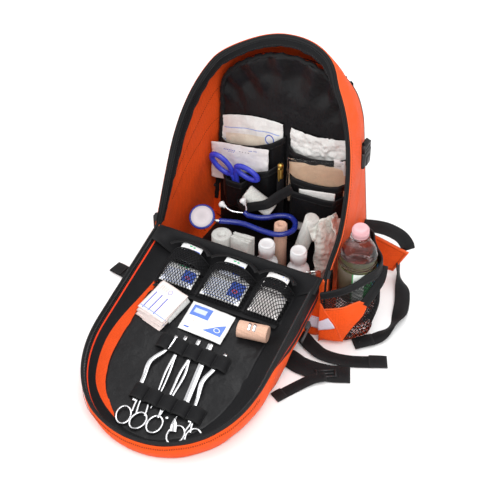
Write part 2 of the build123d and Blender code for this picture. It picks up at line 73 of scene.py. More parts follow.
class Shader:
    """Builds one node material step by step: colour chain, bump chain, roughness."""

    def __init__(self, name, colour, rough, uv=False, **inputs):
        self.material = bpy.data.materials.new(name)
        self.material.use_nodes = True
        self.tree = self.material.node_tree
        self.bsdf = self.tree.nodes["Principled BSDF"]
        self.bsdf.inputs["Roughness"].default_value = rough
        for key, value in inputs.items():
            self.bsdf.inputs[key.replace("_", " ")].default_value = value
        self.where = self.node("ShaderNodeTexCoord").outputs["UV" if uv else "Object"]
        base = self.node("ShaderNodeRGB")
        base.outputs[0].default_value = (*colour, 1)
        self.colour = base.outputs[0]
        self.normal = None

    def node(self, kind, **settings):
        made = self.tree.nodes.new(kind)
        for key, value in settings.items():
            setattr(made, key, value)
        return made

    def feed(self, socket, value):
        """Link a socket, or set a plain number."""
        if isinstance(value, bpy.types.NodeSocket):
            self.tree.links.new(value, socket)
        else:
            socket.default_value = value

    def math(self, operation, a, b=0.0):
        made = self.node("ShaderNodeMath", operation=operation)
        self.feed(made.inputs[0], a)
        self.feed(made.inputs[1], b)
        return made.outputs[0]

    def split(self):
        made = self.node("ShaderNodeSeparateXYZ")
        self.feed(made.inputs[0], self.where)
        return made.outputs

    def noise(self, scale, detail=3.0, stretch=(1, 1, 1)):
        shape = self.node("ShaderNodeMapping")
        self.feed(shape.inputs["Vector"], self.where)
        shape.inputs["Scale"].default_value = stretch
        made = self.node("ShaderNodeTexNoise")
        self.feed(made.inputs["Vector"], shape.outputs[0])
        made.inputs["Scale"].default_value = scale
        made.inputs["Detail"].default_value = detail
        return made.outputs["Fac"]

    def threads(self, pitch):
        """Crossing threads: the sum of one sine per axis, 0 to 1."""
        total = 0.0
        for axis in self.split():
            total = self.math("ADD", self.math("SINE", self.math("MULTIPLY", axis, 2 * pi / pitch)),
                              total)
        return self.remap(total, -2.0, 2.0, 0.0, 1.0)

    def remap(self, value, from_low, from_high, low, high):
        made = self.node("ShaderNodeMapRange")
        self.feed(made.inputs["Value"], value)
        for key, number in (("From Min", from_low), ("From Max", from_high), ("To Min", low),
                            ("To Max", high)):
            made.inputs[key].default_value = number
        return made.outputs[0]

    def shade(self, mask, low, high, from_low=0.3, from_high=0.7):
        """Multiply the colour by a brightness that follows a mask."""
        made = self.node("ShaderNodeVectorMath", operation="SCALE")
        self.feed(made.inputs[0], self.colour)
        self.feed(made.inputs["Scale"], self.remap(mask, from_low, from_high, low, high))
        self.colour = made.outputs[0]

    def paint(self, mask, colour):
        """Lay a second colour where the mask is 1."""
        made = self.node("ShaderNodeMix", data_type="RGBA")
        self.feed(made.inputs[0], mask)
        self.feed(made.inputs[6], self.colour)
        made.inputs[7].default_value = (*colour, 1)
        self.colour = made.outputs[2]

    def bump(self, mask, distance):
        made = self.node("ShaderNodeBump")
        self.feed(made.inputs["Height"], mask)
        made.inputs["Distance"].default_value = distance
        if self.normal is not None:
            self.feed(made.inputs["Normal"], self.normal)
        self.normal = made.outputs[0]

    def worn_edges(self, colour, amount):
        """Lighter where the surface is sharply convex."""
        geometry = self.node("ShaderNodeNewGeometry")
        self.paint(self.remap(geometry.outputs["Pointiness"], 0.52, 0.62, 0.0, amount), colour)

    def roughness(self, mask, low, high):
        self.feed(self.bsdf.inputs["Roughness"], self.remap(mask, 0.3, 0.7, low, high))

    def between(self, value, low, high):
        """1 where low < value < high."""
        return self.math("MULTIPLY", self.math("GREATER_THAN", value, low),
                         self.math("LESS_THAN", value, high))

    def block(self, u0, u1, v0, v1):
        """Mask of a rectangle in UV space."""
        u, v, _ = self.split()
        return self.math("MULTIPLY", self.between(u, u0, u1), self.between(v, v0, v1))

    def wedge(self, u0, v0, size):
        """Mask of a right triangle in UV space."""
        u, v, _ = self.split()
        inside = self.math("LESS_THAN", self.math("ADD", self.math("SUBTRACT", u0, u),
                                                  self.math("SUBTRACT", v, v0)), size)
        return self.math("MULTIPLY", self.block(u0 - size, u0, v0, v0 + size), inside)

    def rules(self, u0, u1, v0, v1, count, share):
        """Mask of parallel ruled lines inside a rectangle."""
        v = self.split()[1]
        phase = self.math("FRACT", self.math("MULTIPLY", self.math("SUBTRACT", v, v0), count / (v1 - v0)))
        return self.math("MULTIPLY", self.block(u0, u1, v0, v1), self.math("LESS_THAN", phase, share))

    def bars(self, u0, u1, v0, v1, count, share):
        """Mask of parallel upright bars inside a rectangle."""
        u = self.split()[0]
        phase = self.math("FRACT", self.math("MULTIPLY", self.math("SUBTRACT", u, u0), count / (u1 - u0)))
        return self.math("MULTIPLY", self.block(u0, u1, v0, v1), self.math("LESS_THAN", phase, share))

    def ring(self, u, v, radius, width, aspect=1.0):
        """Mask of a circle line in UV space."""
        a, b, _ = self.split()
        dx = self.math("MULTIPLY", self.math("SUBTRACT", a, u), aspect)
        dy = self.math("SUBTRACT", b, v)
        far = self.math("SQRT", self.math("ADD", self.math("POWER", dx, 2.0),
                                          self.math("POWER", dy, 2.0)))
        return self.between(far, radius - width, radius)

    def done(self):
        self.feed(self.bsdf.inputs["Base Color"], self.colour)
        if self.normal is not None:
            self.feed(self.bsdf.inputs["Normal"], self.normal)
        return self.material


def fabric(name, colour, pitch, depth, rough=0.7, gloss=0.12, wrinkle=0.0, worn=None, grain=0.12):
    """Woven cloth: thread bump, broad shade changes, fine grain, soft creases, worn edges."""
    s = Shader(name, colour, rough, Sheen_Weight=0.02, Specular_IOR_Level=gloss)
    s.shade(s.noise(7, 4), 0.9, 1.06)
    s.shade(s.noise(500, 2), 1 - grain, 1 + grain / 2)
    threads = s.threads(pitch)
    s.shade(threads, 0.9, 1.04, 0.0, 1.0)
    if wrinkle:
        s.bump(s.noise(38, 4, (1, 1, 0.6)), wrinkle)
    s.bump(threads, depth)
    if worn:
        s.worn_edges(worn, 0.5)
    s.roughness(s.noise(60, 3), rough - 0.08, rough + 0.08)
    return s.done()


def ribbed(name, colour, rough=0.62):
    """Woven strap: ribs across the width and cords along it, from UVs in metres."""
    s = Shader(name, colour, rough, uv=True, Sheen_Weight=0.02, Specular_IOR_Level=0.12)
    u, v, _ = s.split()
    ribs = s.math("SINE", s.math("MULTIPLY", u, 2 * pi / 0.0022))
    cords = s.math("SINE", s.math("MULTIPLY", v, 2 * pi / 0.0016))
    s.shade(s.noise(60, 3), 0.85, 1.2)
    s.shade(ribs, 0.88, 1.1, -1, 1)
    s.bump(ribs, 0.00012)
    s.bump(cords, 0.0001)
    s.worn_edges((0.04, 0.04, 0.04), 0.5)
    return s.done()


def plastic(name, colour, rough=0.35, grain=0.00004, **inputs):
    """Moulded plastic: fine texture, slight flow marks, rubbed edges."""
    s = Shader(name, colour, rough, **inputs)
    s.shade(s.noise(25, 3), 0.94, 1.05)
    s.bump(s.noise(900, 2), grain)
    s.roughness(s.noise(90, 3), rough - 0.06, rough + 0.08)
    s.worn_edges(tuple(min(1.0, c * 1.6 + 0.03) for c in colour), 0.4)
    return s.done()


def metal(name, colour, rough=0.25):
    """Brushed metal with fine lines and smudges."""
    s = Shader(name, colour, rough, Metallic=1.0)
    s.shade(s.noise(30, 3), 0.85, 1.1)
    s.bump(s.noise(220, 2, (1, 12, 1)), 0.00002)
    s.roughness(s.noise(70, 4), rough - 0.1, rough + 0.15)
    return s.done()


def paper(name, colour, rough=0.5, wrinkle=0.0006, marks=(), **inputs):
    """Film or paper pack: wrinkles, soft mottling and plain printed shapes in UV space."""
    s = Shader(name, colour, rough, uv=True, **inputs)
    for shape, values, ink in marks:
        s.paint(getattr(s, shape)(*values), ink)
    s.shade(s.noise(9, 4), 0.92, 1.04)
    s.shade(s.noise(60, 3), 0.95, 1.03)
    s.bump(s.noise(14, 5), wrinkle)
    return s.done()


def clear(name, tint, rough=0.05, **inputs):
    """Clear film or bottle wall."""
    s = Shader(name, tint, rough, Transmission_Weight=1.0, IOR=1.33, **inputs)
    s.shade(s.noise(40, 2), 0.97, 1.02)
    s.bump(s.noise(50, 3), 0.0002)
    return s.done()


INK = (0.045, 0.11, 0.52)
PALE_INK = (0.28, 0.38, 0.72)
RED_INK = (0.62, 0.06, 0.05)
GREEN_INK = (0.03, 0.42, 0.18)

PACK_MARKS = (
    ("rules", (0.06, 0.6, 0.6, 0.64, 1, 0.5), PALE_INK),
    ("rules", (0.05, 0.95, 0.8, 0.84, 1, 0.35), PALE_INK),
    ("ring", (0.8, 0.7, 0.075, 0.016, 1.0), INK),
    ("block", (0.08, 0.72, 0.52, 0.72), (0.76, 0.68, 0.56)),
    ("rules", (0.1, 0.32, 0.5, 0.53, 1, 0.6), INK),
)

PAPER_MARKS = (
    ("block", (0.66, 0.72, 0.9, 0.915), INK),
    ("block", (0.74, 0.8, 0.9, 0.915), INK),
    ("bars", (0.22, 0.44, 0.83, 0.855, 7, 0.55), INK),
    ("bars", (0.5, 0.7, 0.835, 0.85, 4, 0.4), (0.1, 0.1, 0.12)),
    ("bars", (0.3, 0.42, 0.79, 0.808, 4, 0.5), INK),
)

GAUZE_MARKS = (
    ("block", (0.08, 0.52, 0.52, 0.9), (0.1, 0.2, 0.62)),
    ("block", (0.14, 0.42, 0.64, 0.8), (0.55, 0.62, 0.86)),
    ("wedge", (0.93, 0.18, 0.42), (0.1, 0.2, 0.62)),
    ("ring", (0.8, 0.33, 0.07, 0.016, 1.0), (0.85, 0.85, 0.85)),
    ("ring", (0.2, 0.36, 0.06, 0.012, 1.0), (0.8, 0.45, 0.42)),
    ("block", (0.1, 0.22, 0.1, 0.14), INK),
)

PLASTER_MARKS = (
    ("bars", (0.12, 0.78, 0.05, 0.62, 3, 0.16), INK),
    ("rules", (0.02, 0.98, 0.08, 0.14, 1, 0.5), PALE_INK),
    ("ring", (0.5, 0.8, 0.07, 0.014, 1.0), INK),
    ("bars", (0.12, 0.42, 0.74, 0.88, 4, 0.25), (0.55, 0.4, 0.36)),
)

CARD_MARKS = (
    ("block", (0.36, 0.5, 0.86, 0.93), GREEN_INK),
    ("block", (0.55, 0.66, 0.84, 0.92), GREEN_INK),
    ("rules", (0.05, 0.95, 0.05, 0.7, 9, 0.3), PALE_INK),
    ("block", (0.62, 0.96, 0.2, 0.75), INK),
    ("ring", (0.78, 0.4, 0.07, 0.03, 1.0), RED_INK),
)

DOT_CARD_MARKS = (
    ("ring", (0.68, 0.93, 0.035, 0.035, 1.0), PALE_INK),
    ("ring", (0.86, 0.84, 0.028, 0.028, 1.0), INK),
    ("rules", (0.15, 0.85, 0.1, 0.6, 6, 0.2), (0.75, 0.62, 0.6)),
)

LABEL_MARKS = (
    ("block", (0.00, 0.1, 0.3, 1.00), (0.03, 0.25, 0.55)),
    ("block", (0.94, 1.00, 0.3, 1.00), (0.08, 0.36, 0.5)),
    ("block", (0.58, 0.765, 0.00, 1.00), (0.07, 0.05, 0.03)),
    ("block", (0.775, 0.865, 0.00, 1.00), (0.66, 0.7, 0.66)),
    ("rules", (0.785, 0.855, 0.2, 0.8, 5, 0.35), (0.35, 0.38, 0.36)),
    ("block", (0.2, 0.42, 0.18, 0.76), (0.45, 0.62, 0.3)),
)


def make_materials():
    m = {}
    m["orange"] = fabric("orange_polyester", (0.84, 0.088, 0.01), 0.0013, 0.0001, 0.66, 0.12, 0.0016,
                         (0.9, 0.2, 0.08))
    m["orange_inner"] = fabric("orange_inside", (0.74, 0.075, 0.012), 0.0013, 0.0001, 0.7, 0.1, 0.0026)
    m["lining"] = fabric("black_lining", (0.006, 0.006, 0.007), 0.0009, 0.00006, 0.4, 0.26, 0.0034, None,
                         0.2)
    m["tape"] = fabric("zip_tape", (0.007, 0.007, 0.008), 0.0011, 0.0001, 0.6, 0.14, 0.0006,
                       (0.03, 0.03, 0.03))
    m["padding"] = fabric("spacer_mesh", (0.009, 0.009, 0.01), 0.0032, 0.0005, 0.75, 0.15, 0.0015)
    m["net"] = plastic("net_cord", (0.006, 0.006, 0.007), 0.6, Specular_IOR_Level=0.15)
    m["webbing"] = ribbed("webbing", (0.008, 0.008, 0.009))
    m["elastic"] = ribbed("elastic", (0.008, 0.008, 0.009), 0.75)
    m["thread_dark"] = fabric("thread_dark", (0.05, 0.012, 0.008), 0.0006, 0.0001, 0.7)
    m["thread_orange"] = fabric("thread_orange", (0.5, 0.05, 0.012), 0.0006, 0.0001, 0.7)
    m["thread_grey"] = fabric("thread_grey", (0.05, 0.05, 0.052), 0.0006, 0.0001, 0.7)
    m["piping"] = fabric("red_piping", (0.8, 0.055, 0.015), 0.001, 0.0001, 0.6)
    m["black_plastic"] = plastic("acetal", (0.008, 0.008, 0.009), 0.38, Specular_IOR_Level=0.3)
    m["enamel"] = metal("zip_enamel", (0.05, 0.05, 0.052), 0.35)
    m["blue_plastic"] = plastic("shears_handle", (0.03, 0.045, 0.5), 0.3)
    m["tubing"] = plastic("tubing", (0.007, 0.018, 0.2), 0.28)
    m["steel"] = metal("polished_steel", (0.82, 0.82, 0.84), 0.2)
    m["brass"] = metal("brass", (0.6, 0.4, 0.1), 0.28)
    m["white_plastic"] = plastic("white_plastic", (0.66, 0.66, 0.67), 0.35)
    m["diaphragm"] = plastic("diaphragm", (0.46, 0.42, 0.44), 0.22)
    m["reflective"] = paper("reflective_tape", (0.7, 0.67, 0.78), 0.35, 0.0003)
    m["gauze"] = fabric("gauze", (0.62, 0.62, 0.59), 0.0018, 0.0002, 0.85, 0.1, 0.0022)
    m["crepe"] = fabric("crepe", (0.68, 0.43, 0.32), 0.0026, 0.0003, 0.85, 0.1, 0.001)
    m["foil"] = metal("foil", (0.75, 0.74, 0.72), 0.3)
    m["pack_film"] = paper("dressing_pack", (0.8, 0.8, 0.78), 0.4, 0.0008, PACK_MARKS)
    m["plain_film"] = paper("crumpled_pack", (0.76, 0.76, 0.74), 0.35, 0.0014)
    m["printed_paper"] = paper("paper_pack", (0.8, 0.78, 0.78), 0.55, 0.0006, PAPER_MARKS)
    m["gauze_film"] = paper("gauze_pack", (0.8, 0.8, 0.79), 0.4, 0.0006, GAUZE_MARKS)
    m["plaster_paper"] = paper("plaster_strips", (0.8, 0.7, 0.67), 0.5, 0.0005, PLASTER_MARKS)
    m["card"] = paper("card_pack", (0.82, 0.82, 0.82), 0.5, 0.0004, CARD_MARKS)
    m["dot_card"] = paper("dotted_card", (0.8, 0.77, 0.76), 0.5, 0.0004, DOT_CARD_MARKS)
    m["beige_pad"] = paper("beige_dressing", (0.78, 0.55, 0.38), 0.6, 0.0008)
    m["clear_film"] = clear("clear_film", (0.98, 0.97, 0.96), 0.1)
    m["bottle"] = clear("bottle_wall", (0.99, 0.96, 0.96), 0.03)
    m["drink"] = clear("drink", (0.992, 0.84, 0.83), 0.02)
    m["bottle_label"] = paper("bottle_label", (0.03, 0.22, 0.06), 0.35, 0.0001, LABEL_MARKS)
    m["frosted_cap"] = plastic("frosted_cap", (0.56, 0.31, 0.33), 0.35)
    m["glove_film"] = paper("glove_film", (0.7, 0.69, 0.64), 0.32, 0.0014)
    return m


MAT = make_materials()

# ------------------------------------------------------------------ geometry helpers


def piece(name, shape, material, body, stands_for=(), flat=False):
    """Make a mesh object from (vertices, faces, uvs) and attach it to its body."""
    verts, faces, uvs = shape
    mesh = bpy.data.meshes.new(name)
    mesh.from_pydata([tuple(v) for v in verts], [], [tuple(f) for f in faces])
    layer = mesh.uv_layers.new(name="UVMap")
    for loop in mesh.loops:
        layer.data[loop.index].uv = uvs[loop.vertex_index]
    mesh.materials.append(MAT[material])
    for polygon in mesh.polygons:
        polygon.use_smooth = not flat
    made = bpy.data.objects.new(name, mesh)
    bpy.context.scene.collection.objects.link(made)
    if body:
        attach(made, body)
    if stands_for:
        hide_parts(*stands_for)
    return made


def join(shapes):
    """Merge several (vertices, faces, uvs) into one shape."""
    verts, faces, uvs = [], [], []
    for v, f, t in shapes:
        start = len(verts)
        verts += v
        uvs += t
        faces += [tuple(start + n for n in face) for face in f]
    return verts, faces, uvs


def grid(fn, nu, nv, size=(1.0, 1.0), wrap=False):
    """Sample fn(u, v) on a grid, with UVs scaled to size."""
    columns = nu if wrap else nu + 1
    verts = [fn(i / nu, j / nv) for i in range(columns) for j in range(nv + 1)]
    uvs = [(i / nu * size[0], j / nv * size[1]) for i in range(columns) for j in range(nv + 1)]
    faces = []
    for i in range(nu):
        for j in range(nv):
            a = i * (nv + 1) + j
            b = ((i + 1) % columns) * (nv + 1) + j
            faces.append((a, b, b + 1, a + 1))
    return verts, faces, uvs


def thicken(made, thickness, offset=-1.0):
    modifier = made.modifiers.new("thickness", "SOLIDIFY")
    modifier.thickness = thickness
    modifier.offset = offset
    return made


def soften(made, levels=1):
    modifier = made.modifiers.new("smooth", "SUBSURF")
    modifier.levels = levels
    modifier.render_levels = levels
    return made


def sheet(name, fn, steps, material, body, thickness, size=(1.0, 1.0), offset=0.0, wrap=False,
          stands_for=()):
    """A cloth sheet from a formula, given a real thickness."""
    made = piece(name, grid(fn, *steps, size, wrap), material, body, stands_for)
    return thicken(made, thickness, offset)


def striped_sheet(name, fn, columns, bands, body, thickness, offset=0.0, stands_for=()):
    """A sheet whose rows are coloured in bands: (end of band at s, rows, material) from edge 0."""
    rows = [(0, 0)]
    owner = []
    for k, (_, count, _) in enumerate(bands):
        rows += [(k, (j + 1) / count) for j in range(count)]
        owner += [k] * count
    total = len(rows) - 1

    def warped(s, t):
        k, share = rows[round(t * total)]
        low = bands[k - 1][0](s) if k else 0.0
        return fn(s, low + (bands[k][0](s) - low) * share)

    made = piece(name, grid(warped, columns, total), bands[0][2], body, stands_for)
    for band in bands[1:]:
        made.data.materials.append(MAT[band[2]])
    for index, polygon in enumerate(made.data.polygons):
        polygon.material_index = owner[index % total]
    return thicken(made, thickness, offset)


def spline(points, count):
    """Smooth path through points, sampled evenly by length."""
    p = [Vector(q) for q in points]
    p = [p[0] * 2 - p[1]] + p + [p[-1] * 2 - p[-2]]
    fine = []
    for k in range(1, len(p) - 2):
        a, b, c, d = p[k - 1:k + 3]
        for j in range(16):
            t = j / 16
            fine.append(0.5 * (2 * b + (c - a) * t + (2 * a - 5 * b + 4 * c - d) * t * t
                               + (3 * b - a - 3 * c + d) * t ** 3))
    fine.append(p[-2])
    return even(fine, count)


def even(path, count):
    """Resample a path at equal lengths."""
    lengths = [0.0]
    for a, b in zip(path, path[1:]):
        lengths.append(lengths[-1] + (b - a).length)
    sampled = []
    k = 0
    for i in range(count):
        target = lengths[-1] * i / (count - 1)
        while k < len(path) - 2 and lengths[k + 1] < target:
            k += 1
        gap = max(lengths[k + 1] - lengths[k], 1e-9)
        sampled.append(path[k].lerp(path[k + 1], (target - lengths[k]) / gap))
    return sampled


def tangents(path):
    last = len(path) - 1
    return [(path[min(i + 1, last)] - path[max(i - 1, 0)]).normalized() for i in range(len(path))]


SKEW = Vector((0.13, 0.21, 0.97))      # a lift direction for round tubes that is never along them


def sweep(path, section, lift=SKEW):
    """Sweep a closed section of (side, lift) offsets along a path; lift may follow the path."""
    verts, uvs = [], []
    travelled = 0.0
    count = len(section)
    last = len(path) - 1
    for i, (p, t) in enumerate(zip(path, tangents(path))):
        if i:
            travelled += (p - path[i - 1]).length
        up = Vector(lift(i / last)) if callable(lift) else Vector(lift)
        side = t.cross(up).normalized()
        up = side.cross(t).normalized()
        for a, b in section:
            verts.append(p + side * a + up * b)
            uvs.append((travelled, a))
    return verts, skin(last, count), uvs


def skin(last, count):
    """Faces of a tube of rings 0 to last, each of count points, with its two end caps."""
    faces = []
    for i in range(last):
        for k in range(count):
            n = (k + 1) % count
            faces.append((i * count + k, (i + 1) * count + k, (i + 1) * count + n, i * count + n))
    faces.append(tuple(range(count)))
    faces.append(tuple(last * count + k for k in range(count - 1, -1, -1)))
    return faces


def round_section(radius, sides=10, flat=1.0):
    return [(radius * cos(2 * pi * k / sides), radius * flat * sin(2 * pi * k / sides))
            for k in range(sides)]


def strap_section(width, thickness):
    """Flat strap with rounded edges."""
    w, t = width / 2, thickness / 2
    return [(-w, 0), (-w + t, -t), (0, -t), (w - t, -t), (w, 0), (w - t, t), (0, t), (-w + t, t)]


def tube(name, points, radius, material, body, count=60, sides=10, flat=1.0, stands_for=()):
    shape = sweep(spline(points, count), round_section(radius, sides, flat))
    return piece(name, shape, material, body, stands_for)


def cord(name, path, radius, material, body, sides=8):
    """A thin tube along an exact path."""
    return piece(name, sweep(path, round_section(radius, sides)), material, body)


def strap(name, points, width, thickness, body, lift=(0, 0, 1), count=48, material="webbing",
          stands_for=()):
    shape = sweep(spline(points, count), strap_section(width, thickness), lift)
    return piece(name, shape, material, body, stands_for)


FINE_THREAD = 0.0003                   # radius of the finer stitching thread


def stitches(name, path, material, body, pitch=0.0042, radius=0.00035):
    """A row of raised thread dashes along a path."""
    length = sum((b - a).length for a, b in zip(path, path[1:]))
    dots = even(path, max(int(length / pitch), 2) * 5)
    dashes = [sweep([dots[k], dots[k + 3]], round_section(radius, 5)) for k in range(0, len(dots) - 4, 5)]
    return piece(name, join(dashes), material, body)


def teeth(name, path, material, body, pitch=0.0026):
    """Coil zip: one small block per pitch along a path."""
    length = sum((b - a).length for a, b in zip(path, path[1:]))
    dots = even(path, int(length / pitch) * 2)
    blocks = [sweep([dots[k], dots[k + 1]], [(-0.0016, -0.0008), (0.0016, -0.0008), (0.0016, 0.0008),
                                             (-0.0016, 0.0008)])
              for k in range(0, len(dots) - 1, 2)]
    return piece(name, join(blocks), material, body, (), True)


def lathe(profile, place, segments=40, wobble=0.0):
    """Turn (radius, height) points about a local z axis and move by a matrix."""
    count = len(profile)
    verts, uvs = [], []
    for i in range(segments):
        a = 2 * pi * i / segments
        for k, (r, z) in enumerate(profile):
            r += wobble * wave(cos(a), sin(a), z * 40, 2.2)
            verts.append(place @ Vector((r * cos(a), r * sin(a), z)))
            uvs.append((i / segments, k / (count - 1)))
    faces = []
    for i in range(segments):
        j = (i + 1) % segments
        for k in range(count - 1):
            faces.append((i * count + k, j * count + k, j * count + k + 1, i * count + k + 1))
    return verts, faces, uvs


def packet(place, size, puff, crumple=0.0, seed=0.0, steps=(26, 20), pinch=0.1, skew=0.0, crown=0.0):
    """A sealed packet: two skins that meet in flat crimped edges, with creases.

    skew slants it along its width, and crown raises the middle of its far edge.
    """
    w, l = size
    nu, nv = steps
    verts, uvs = [], []
    for face in (1, -1):
        for i in range(nu + 1):
            for j in range(nv + 1):
                x, y = i / nu * 2 - 1, j / nv * 2 - 1
                full = 1 - pinch
                rise = max(0.0, 1 - (abs(x) / full) ** 4) * max(0.0, 1 - (abs(y) / full) ** 4)
                px, py = x * w / 2, y * l / 2
                ripple = crumple * (wave(px, py, 0, 55, seed) + 0.5 * wave(px, py, 0, 140, seed + 3))
                px += crumple * 0.6 * wave(px, py, 0, 40, seed + 7) * abs(y)
                py += crumple * 0.8 * wave(px, py, 0, 40, seed + 9) * abs(x)
                py += skew * px + crown * (1 - x * x) * (y + 1) / 2
                verts.append(place @ Vector((px, py, face * (puff / 2 * sqrt(rise) + 0.0004) + ripple)))
                uvs.append((i / nu, j / nv))
    per = (nu + 1) * (nv + 1)
    faces = []
    for i in range(nu):
        for j in range(nv):
            a = i * (nv + 1) + j
            b = a + nv + 1
            faces.append((a, b, b + 1, a + 1))
            faces.append((per + a, per + a + 1, per + b + 1, per + b))
    edge = [i * (nv + 1) for i in range(nu + 1)] + [nu * (nv + 1) + j for j in range(1, nv + 1)]
    edge += [i * (nv + 1) + nv for i in range(nu - 1, -1, -1)] + list(range(nv - 1, 0, -1))
    for a, b in zip(edge, edge[1:] + edge[:1]):
        faces.append((b, a, per + a, per + b))
    return verts, faces, uvs


def slab(place, size, radius=0.0015):
    """Thin plate with softened edges, centred on its place."""
    w, l, h = (v / 2 for v in size)
    r = min(radius, h * 0.98)
    rings = [(h, r), (h - r * 0.3, r * 0.3), (h - r, 0.0), (-h + r, 0.0), (-h + r * 0.3, r * 0.3),
             (-h, r)]
    verts, uvs = [], []
    for z, inset in rings:
        for x, y in ((-1, -1), (1, -1), (1, 1), (-1, 1)):
            verts.append(place @ Vector((x * (w - inset), y * (l - inset), z)))
            uvs.append(((x + 1) / 2, (y + 1) / 2))
    faces = [(0, 1, 2, 3), (23, 22, 21, 20)]
    for k in range(5):
        for n in range(4):
            m = (n + 1) % 4
            faces.append((k * 4 + m, k * 4 + n, k * 4 + 4 + n, k * 4 + 4 + m))
    return verts, faces, uvs


def at(x, y, z, rx=0.0, ry=0.0, rz=0.0):
    """Placement: turn by degrees about x, y and z, then move."""
    turn = Matrix.Rotation(radians(rz), 4, "Z") @ Matrix.Rotation(radians(ry), 4, "Y")
    return Matrix.Translation((x, y, z)) @ turn @ Matrix.Rotation(radians(rx), 4, "X")


def foot_of(node):
    """Placement at the middle of the foot of a CAD node."""
    low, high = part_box(node)
    return at((low.x + high.x) / 2, (low.y + high.y) / 2, low.z)


def middle_of(node):
    """Middle and size of a CAD node."""
    low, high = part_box(node)
    return (low + high) / 2, high - low


def net(name, fn, nu, nv, thickness, body, stands_for=()):
    """Diamond netting over a formula surface: a lattice of cords with real holes."""
    index, verts = {}, []
    for i in range(nu + 1):
        for j in range(nv + 1):
            if (i + j) % 2 == 0:
                index[i, j] = len(verts)
                verts.append(fn(i / nu, j / nv))
    faces = []
    for i in range(nu + 1):
        for j in range(nv + 1):
            if (i + j) % 2 == 0:
                continue
            ring = [index.get(k) for k in ((i - 1, j), (i, j - 1), (i + 1, j), (i, j + 1))]
            ring = [k for k in ring if k is not None]
            if len(ring) >= 3:
                faces.append(tuple(ring))
    made = piece(name, (verts, faces, [(0, 0)] * len(verts)), "net", body, stands_for)
    modifier = made.modifiers.new("cords", "WIREFRAME")
    modifier.thickness = thickness
    modifier.use_even_offset = False
    return made


def finish_node(name, key):
    """Give a carried-over CAD node its finished material."""
    for material_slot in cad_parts[name].material_slots:
        material_slot.material = MAT[key]


# ------------------------------------------------------------------ shape of the pack body

LEAN = radians(28)                     # the mouth leans back from vertical
HINGE = Vector((0, -0.105, 0.12))     # middle of the lid's hinge line
FOOT_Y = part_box("main_shell")[0].y     # foot of the front wall
BACK_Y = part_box("main_shell")[1].y
BACK_TOP = 0.366
BACK_ARCH = 0.262                      # the rear edge rounds over above this height
MOUTH_TOP = 0.349                      # along the mouth from the hinge line
LEFT_HALF = 0.152                      # the opened mouth sags a little to the right
RIGHT_HALF = 0.157
CORNER = 0.025
WALL_SHARE = 0.13                      # share of the edge taken by each front wall corner


def arch_width(k, power):
    """Superellipse: relative half width at relative height k."""
    return max(1 - k ** power, 0.0) ** (1 / power) if k > 0 else 1.0


def foot_inset(z):
    """Sideways pull of the rounded lower corners."""
    return CORNER - sqrt(max(CORNER ** 2 - (CORNER - min(z, CORNER)) ** 2, 0.0))


def mouth_edge(s):
    """Front edge of the body: up the front wall's corner, over the mouth and down again."""
    side = -1 if s < 0.5 else 1
    rise = s if s < 0.5 else 1 - s
    if rise < WALL_SHARE:
        z = HINGE.z * rise / WALL_SHARE
        y = FOOT_Y + (HINGE.y - FOOT_Y) * z / HINGE.z
        return Vector((side * (0.151 - foot_inset(z)), y, z))
    half = LEFT_HALF if side < 0 else RIGHT_HALF
    start = 0.11 if side < 0 else 0.06
    power = 2.2 if side < 0 else 2.1
    a = (rise - WALL_SHARE) / (0.5 - WALL_SHARE)
    straight = 0.3
    if a < straight:
        v = start * a / straight
        x = half
    else:
        turn = (a - straight) / (1 - straight) * pi / 2
        v = start + (MOUTH_TOP - start) * sin(turn) ** (2 / power)
        x = half * cos(turn) ** (2 / power)
    x *= 1 - (1 - 0.151 / half) * (1 - smooth(v, 0.0, 0.08))
    skew = 0.018 * smooth(v, 0.285, 0.345)
    return Vector((side * x + skew, HINGE.y + v * sin(LEAN), HINGE.z + v * cos(LEAN)))


def rear_edge(s):
    """Outline of the body where it meets the back panel: narrower with height."""
    side = -1 if s < 0.5 else 1
    z = mouth_edge(s).z * BACK_TOP / (HINGE.z + MOUTH_TOP * cos(LEAN))
    k = (z - BACK_ARCH) / (BACK_TOP - BACK_ARCH)
    x = (0.134 - 0.09 * (z - 0.085)) * arch_width(min(k, 1.0), 2.7) - foot_inset(z)
    return Vector((side * x + 0.006 * smooth(z, 0.3, BACK_TOP), BACK_Y, z))


def closed(edge, s, share=0.08):
    """An outline with its open foot closed by a straight line."""
    left, right = edge(0.0), edge(1.0)
    if s < share:
        return left.lerp(right, 0.5 * (1 - s / share))
    if s > 1 - share:
        return right.lerp(left, 0.5 * (1 - (1 - s) / share))
    return edge((s - share) / (1 - 2 * share))


def wall(s, t, inset=0.0):
    """Point of the body's wall: s along the edge, t 0 at the mouth and 1 at the back."""
    p = mouth_edge(s).lerp(rear_edge(s), t)
    out = Vector((p.x, 0, max(p.z - 0.2, 0.0))).normalized()
    soft = sin(pi * min(max(t, 0.0), 1.0)) * smooth(p.z, 0.0, 0.06)
    return p + out * (0.004 * soft + crease(p, 0.003, 13, 1) * soft - inset)


def wall_depth(s):
    """Length of the wall from the mouth to the back at s."""
    return (rear_edge(s) - mouth_edge(s)).length


def along_rim(back, inset, first=WALL_SHARE, last=1 - WALL_SHARE, count=160):
    """Path round the mouth, a distance back from its edge."""
    stops = [first + (last - first) * i / (count - 1) for i in range(count)]
    return [wall(s, back / wall_depth(s), inset) for s in stops]


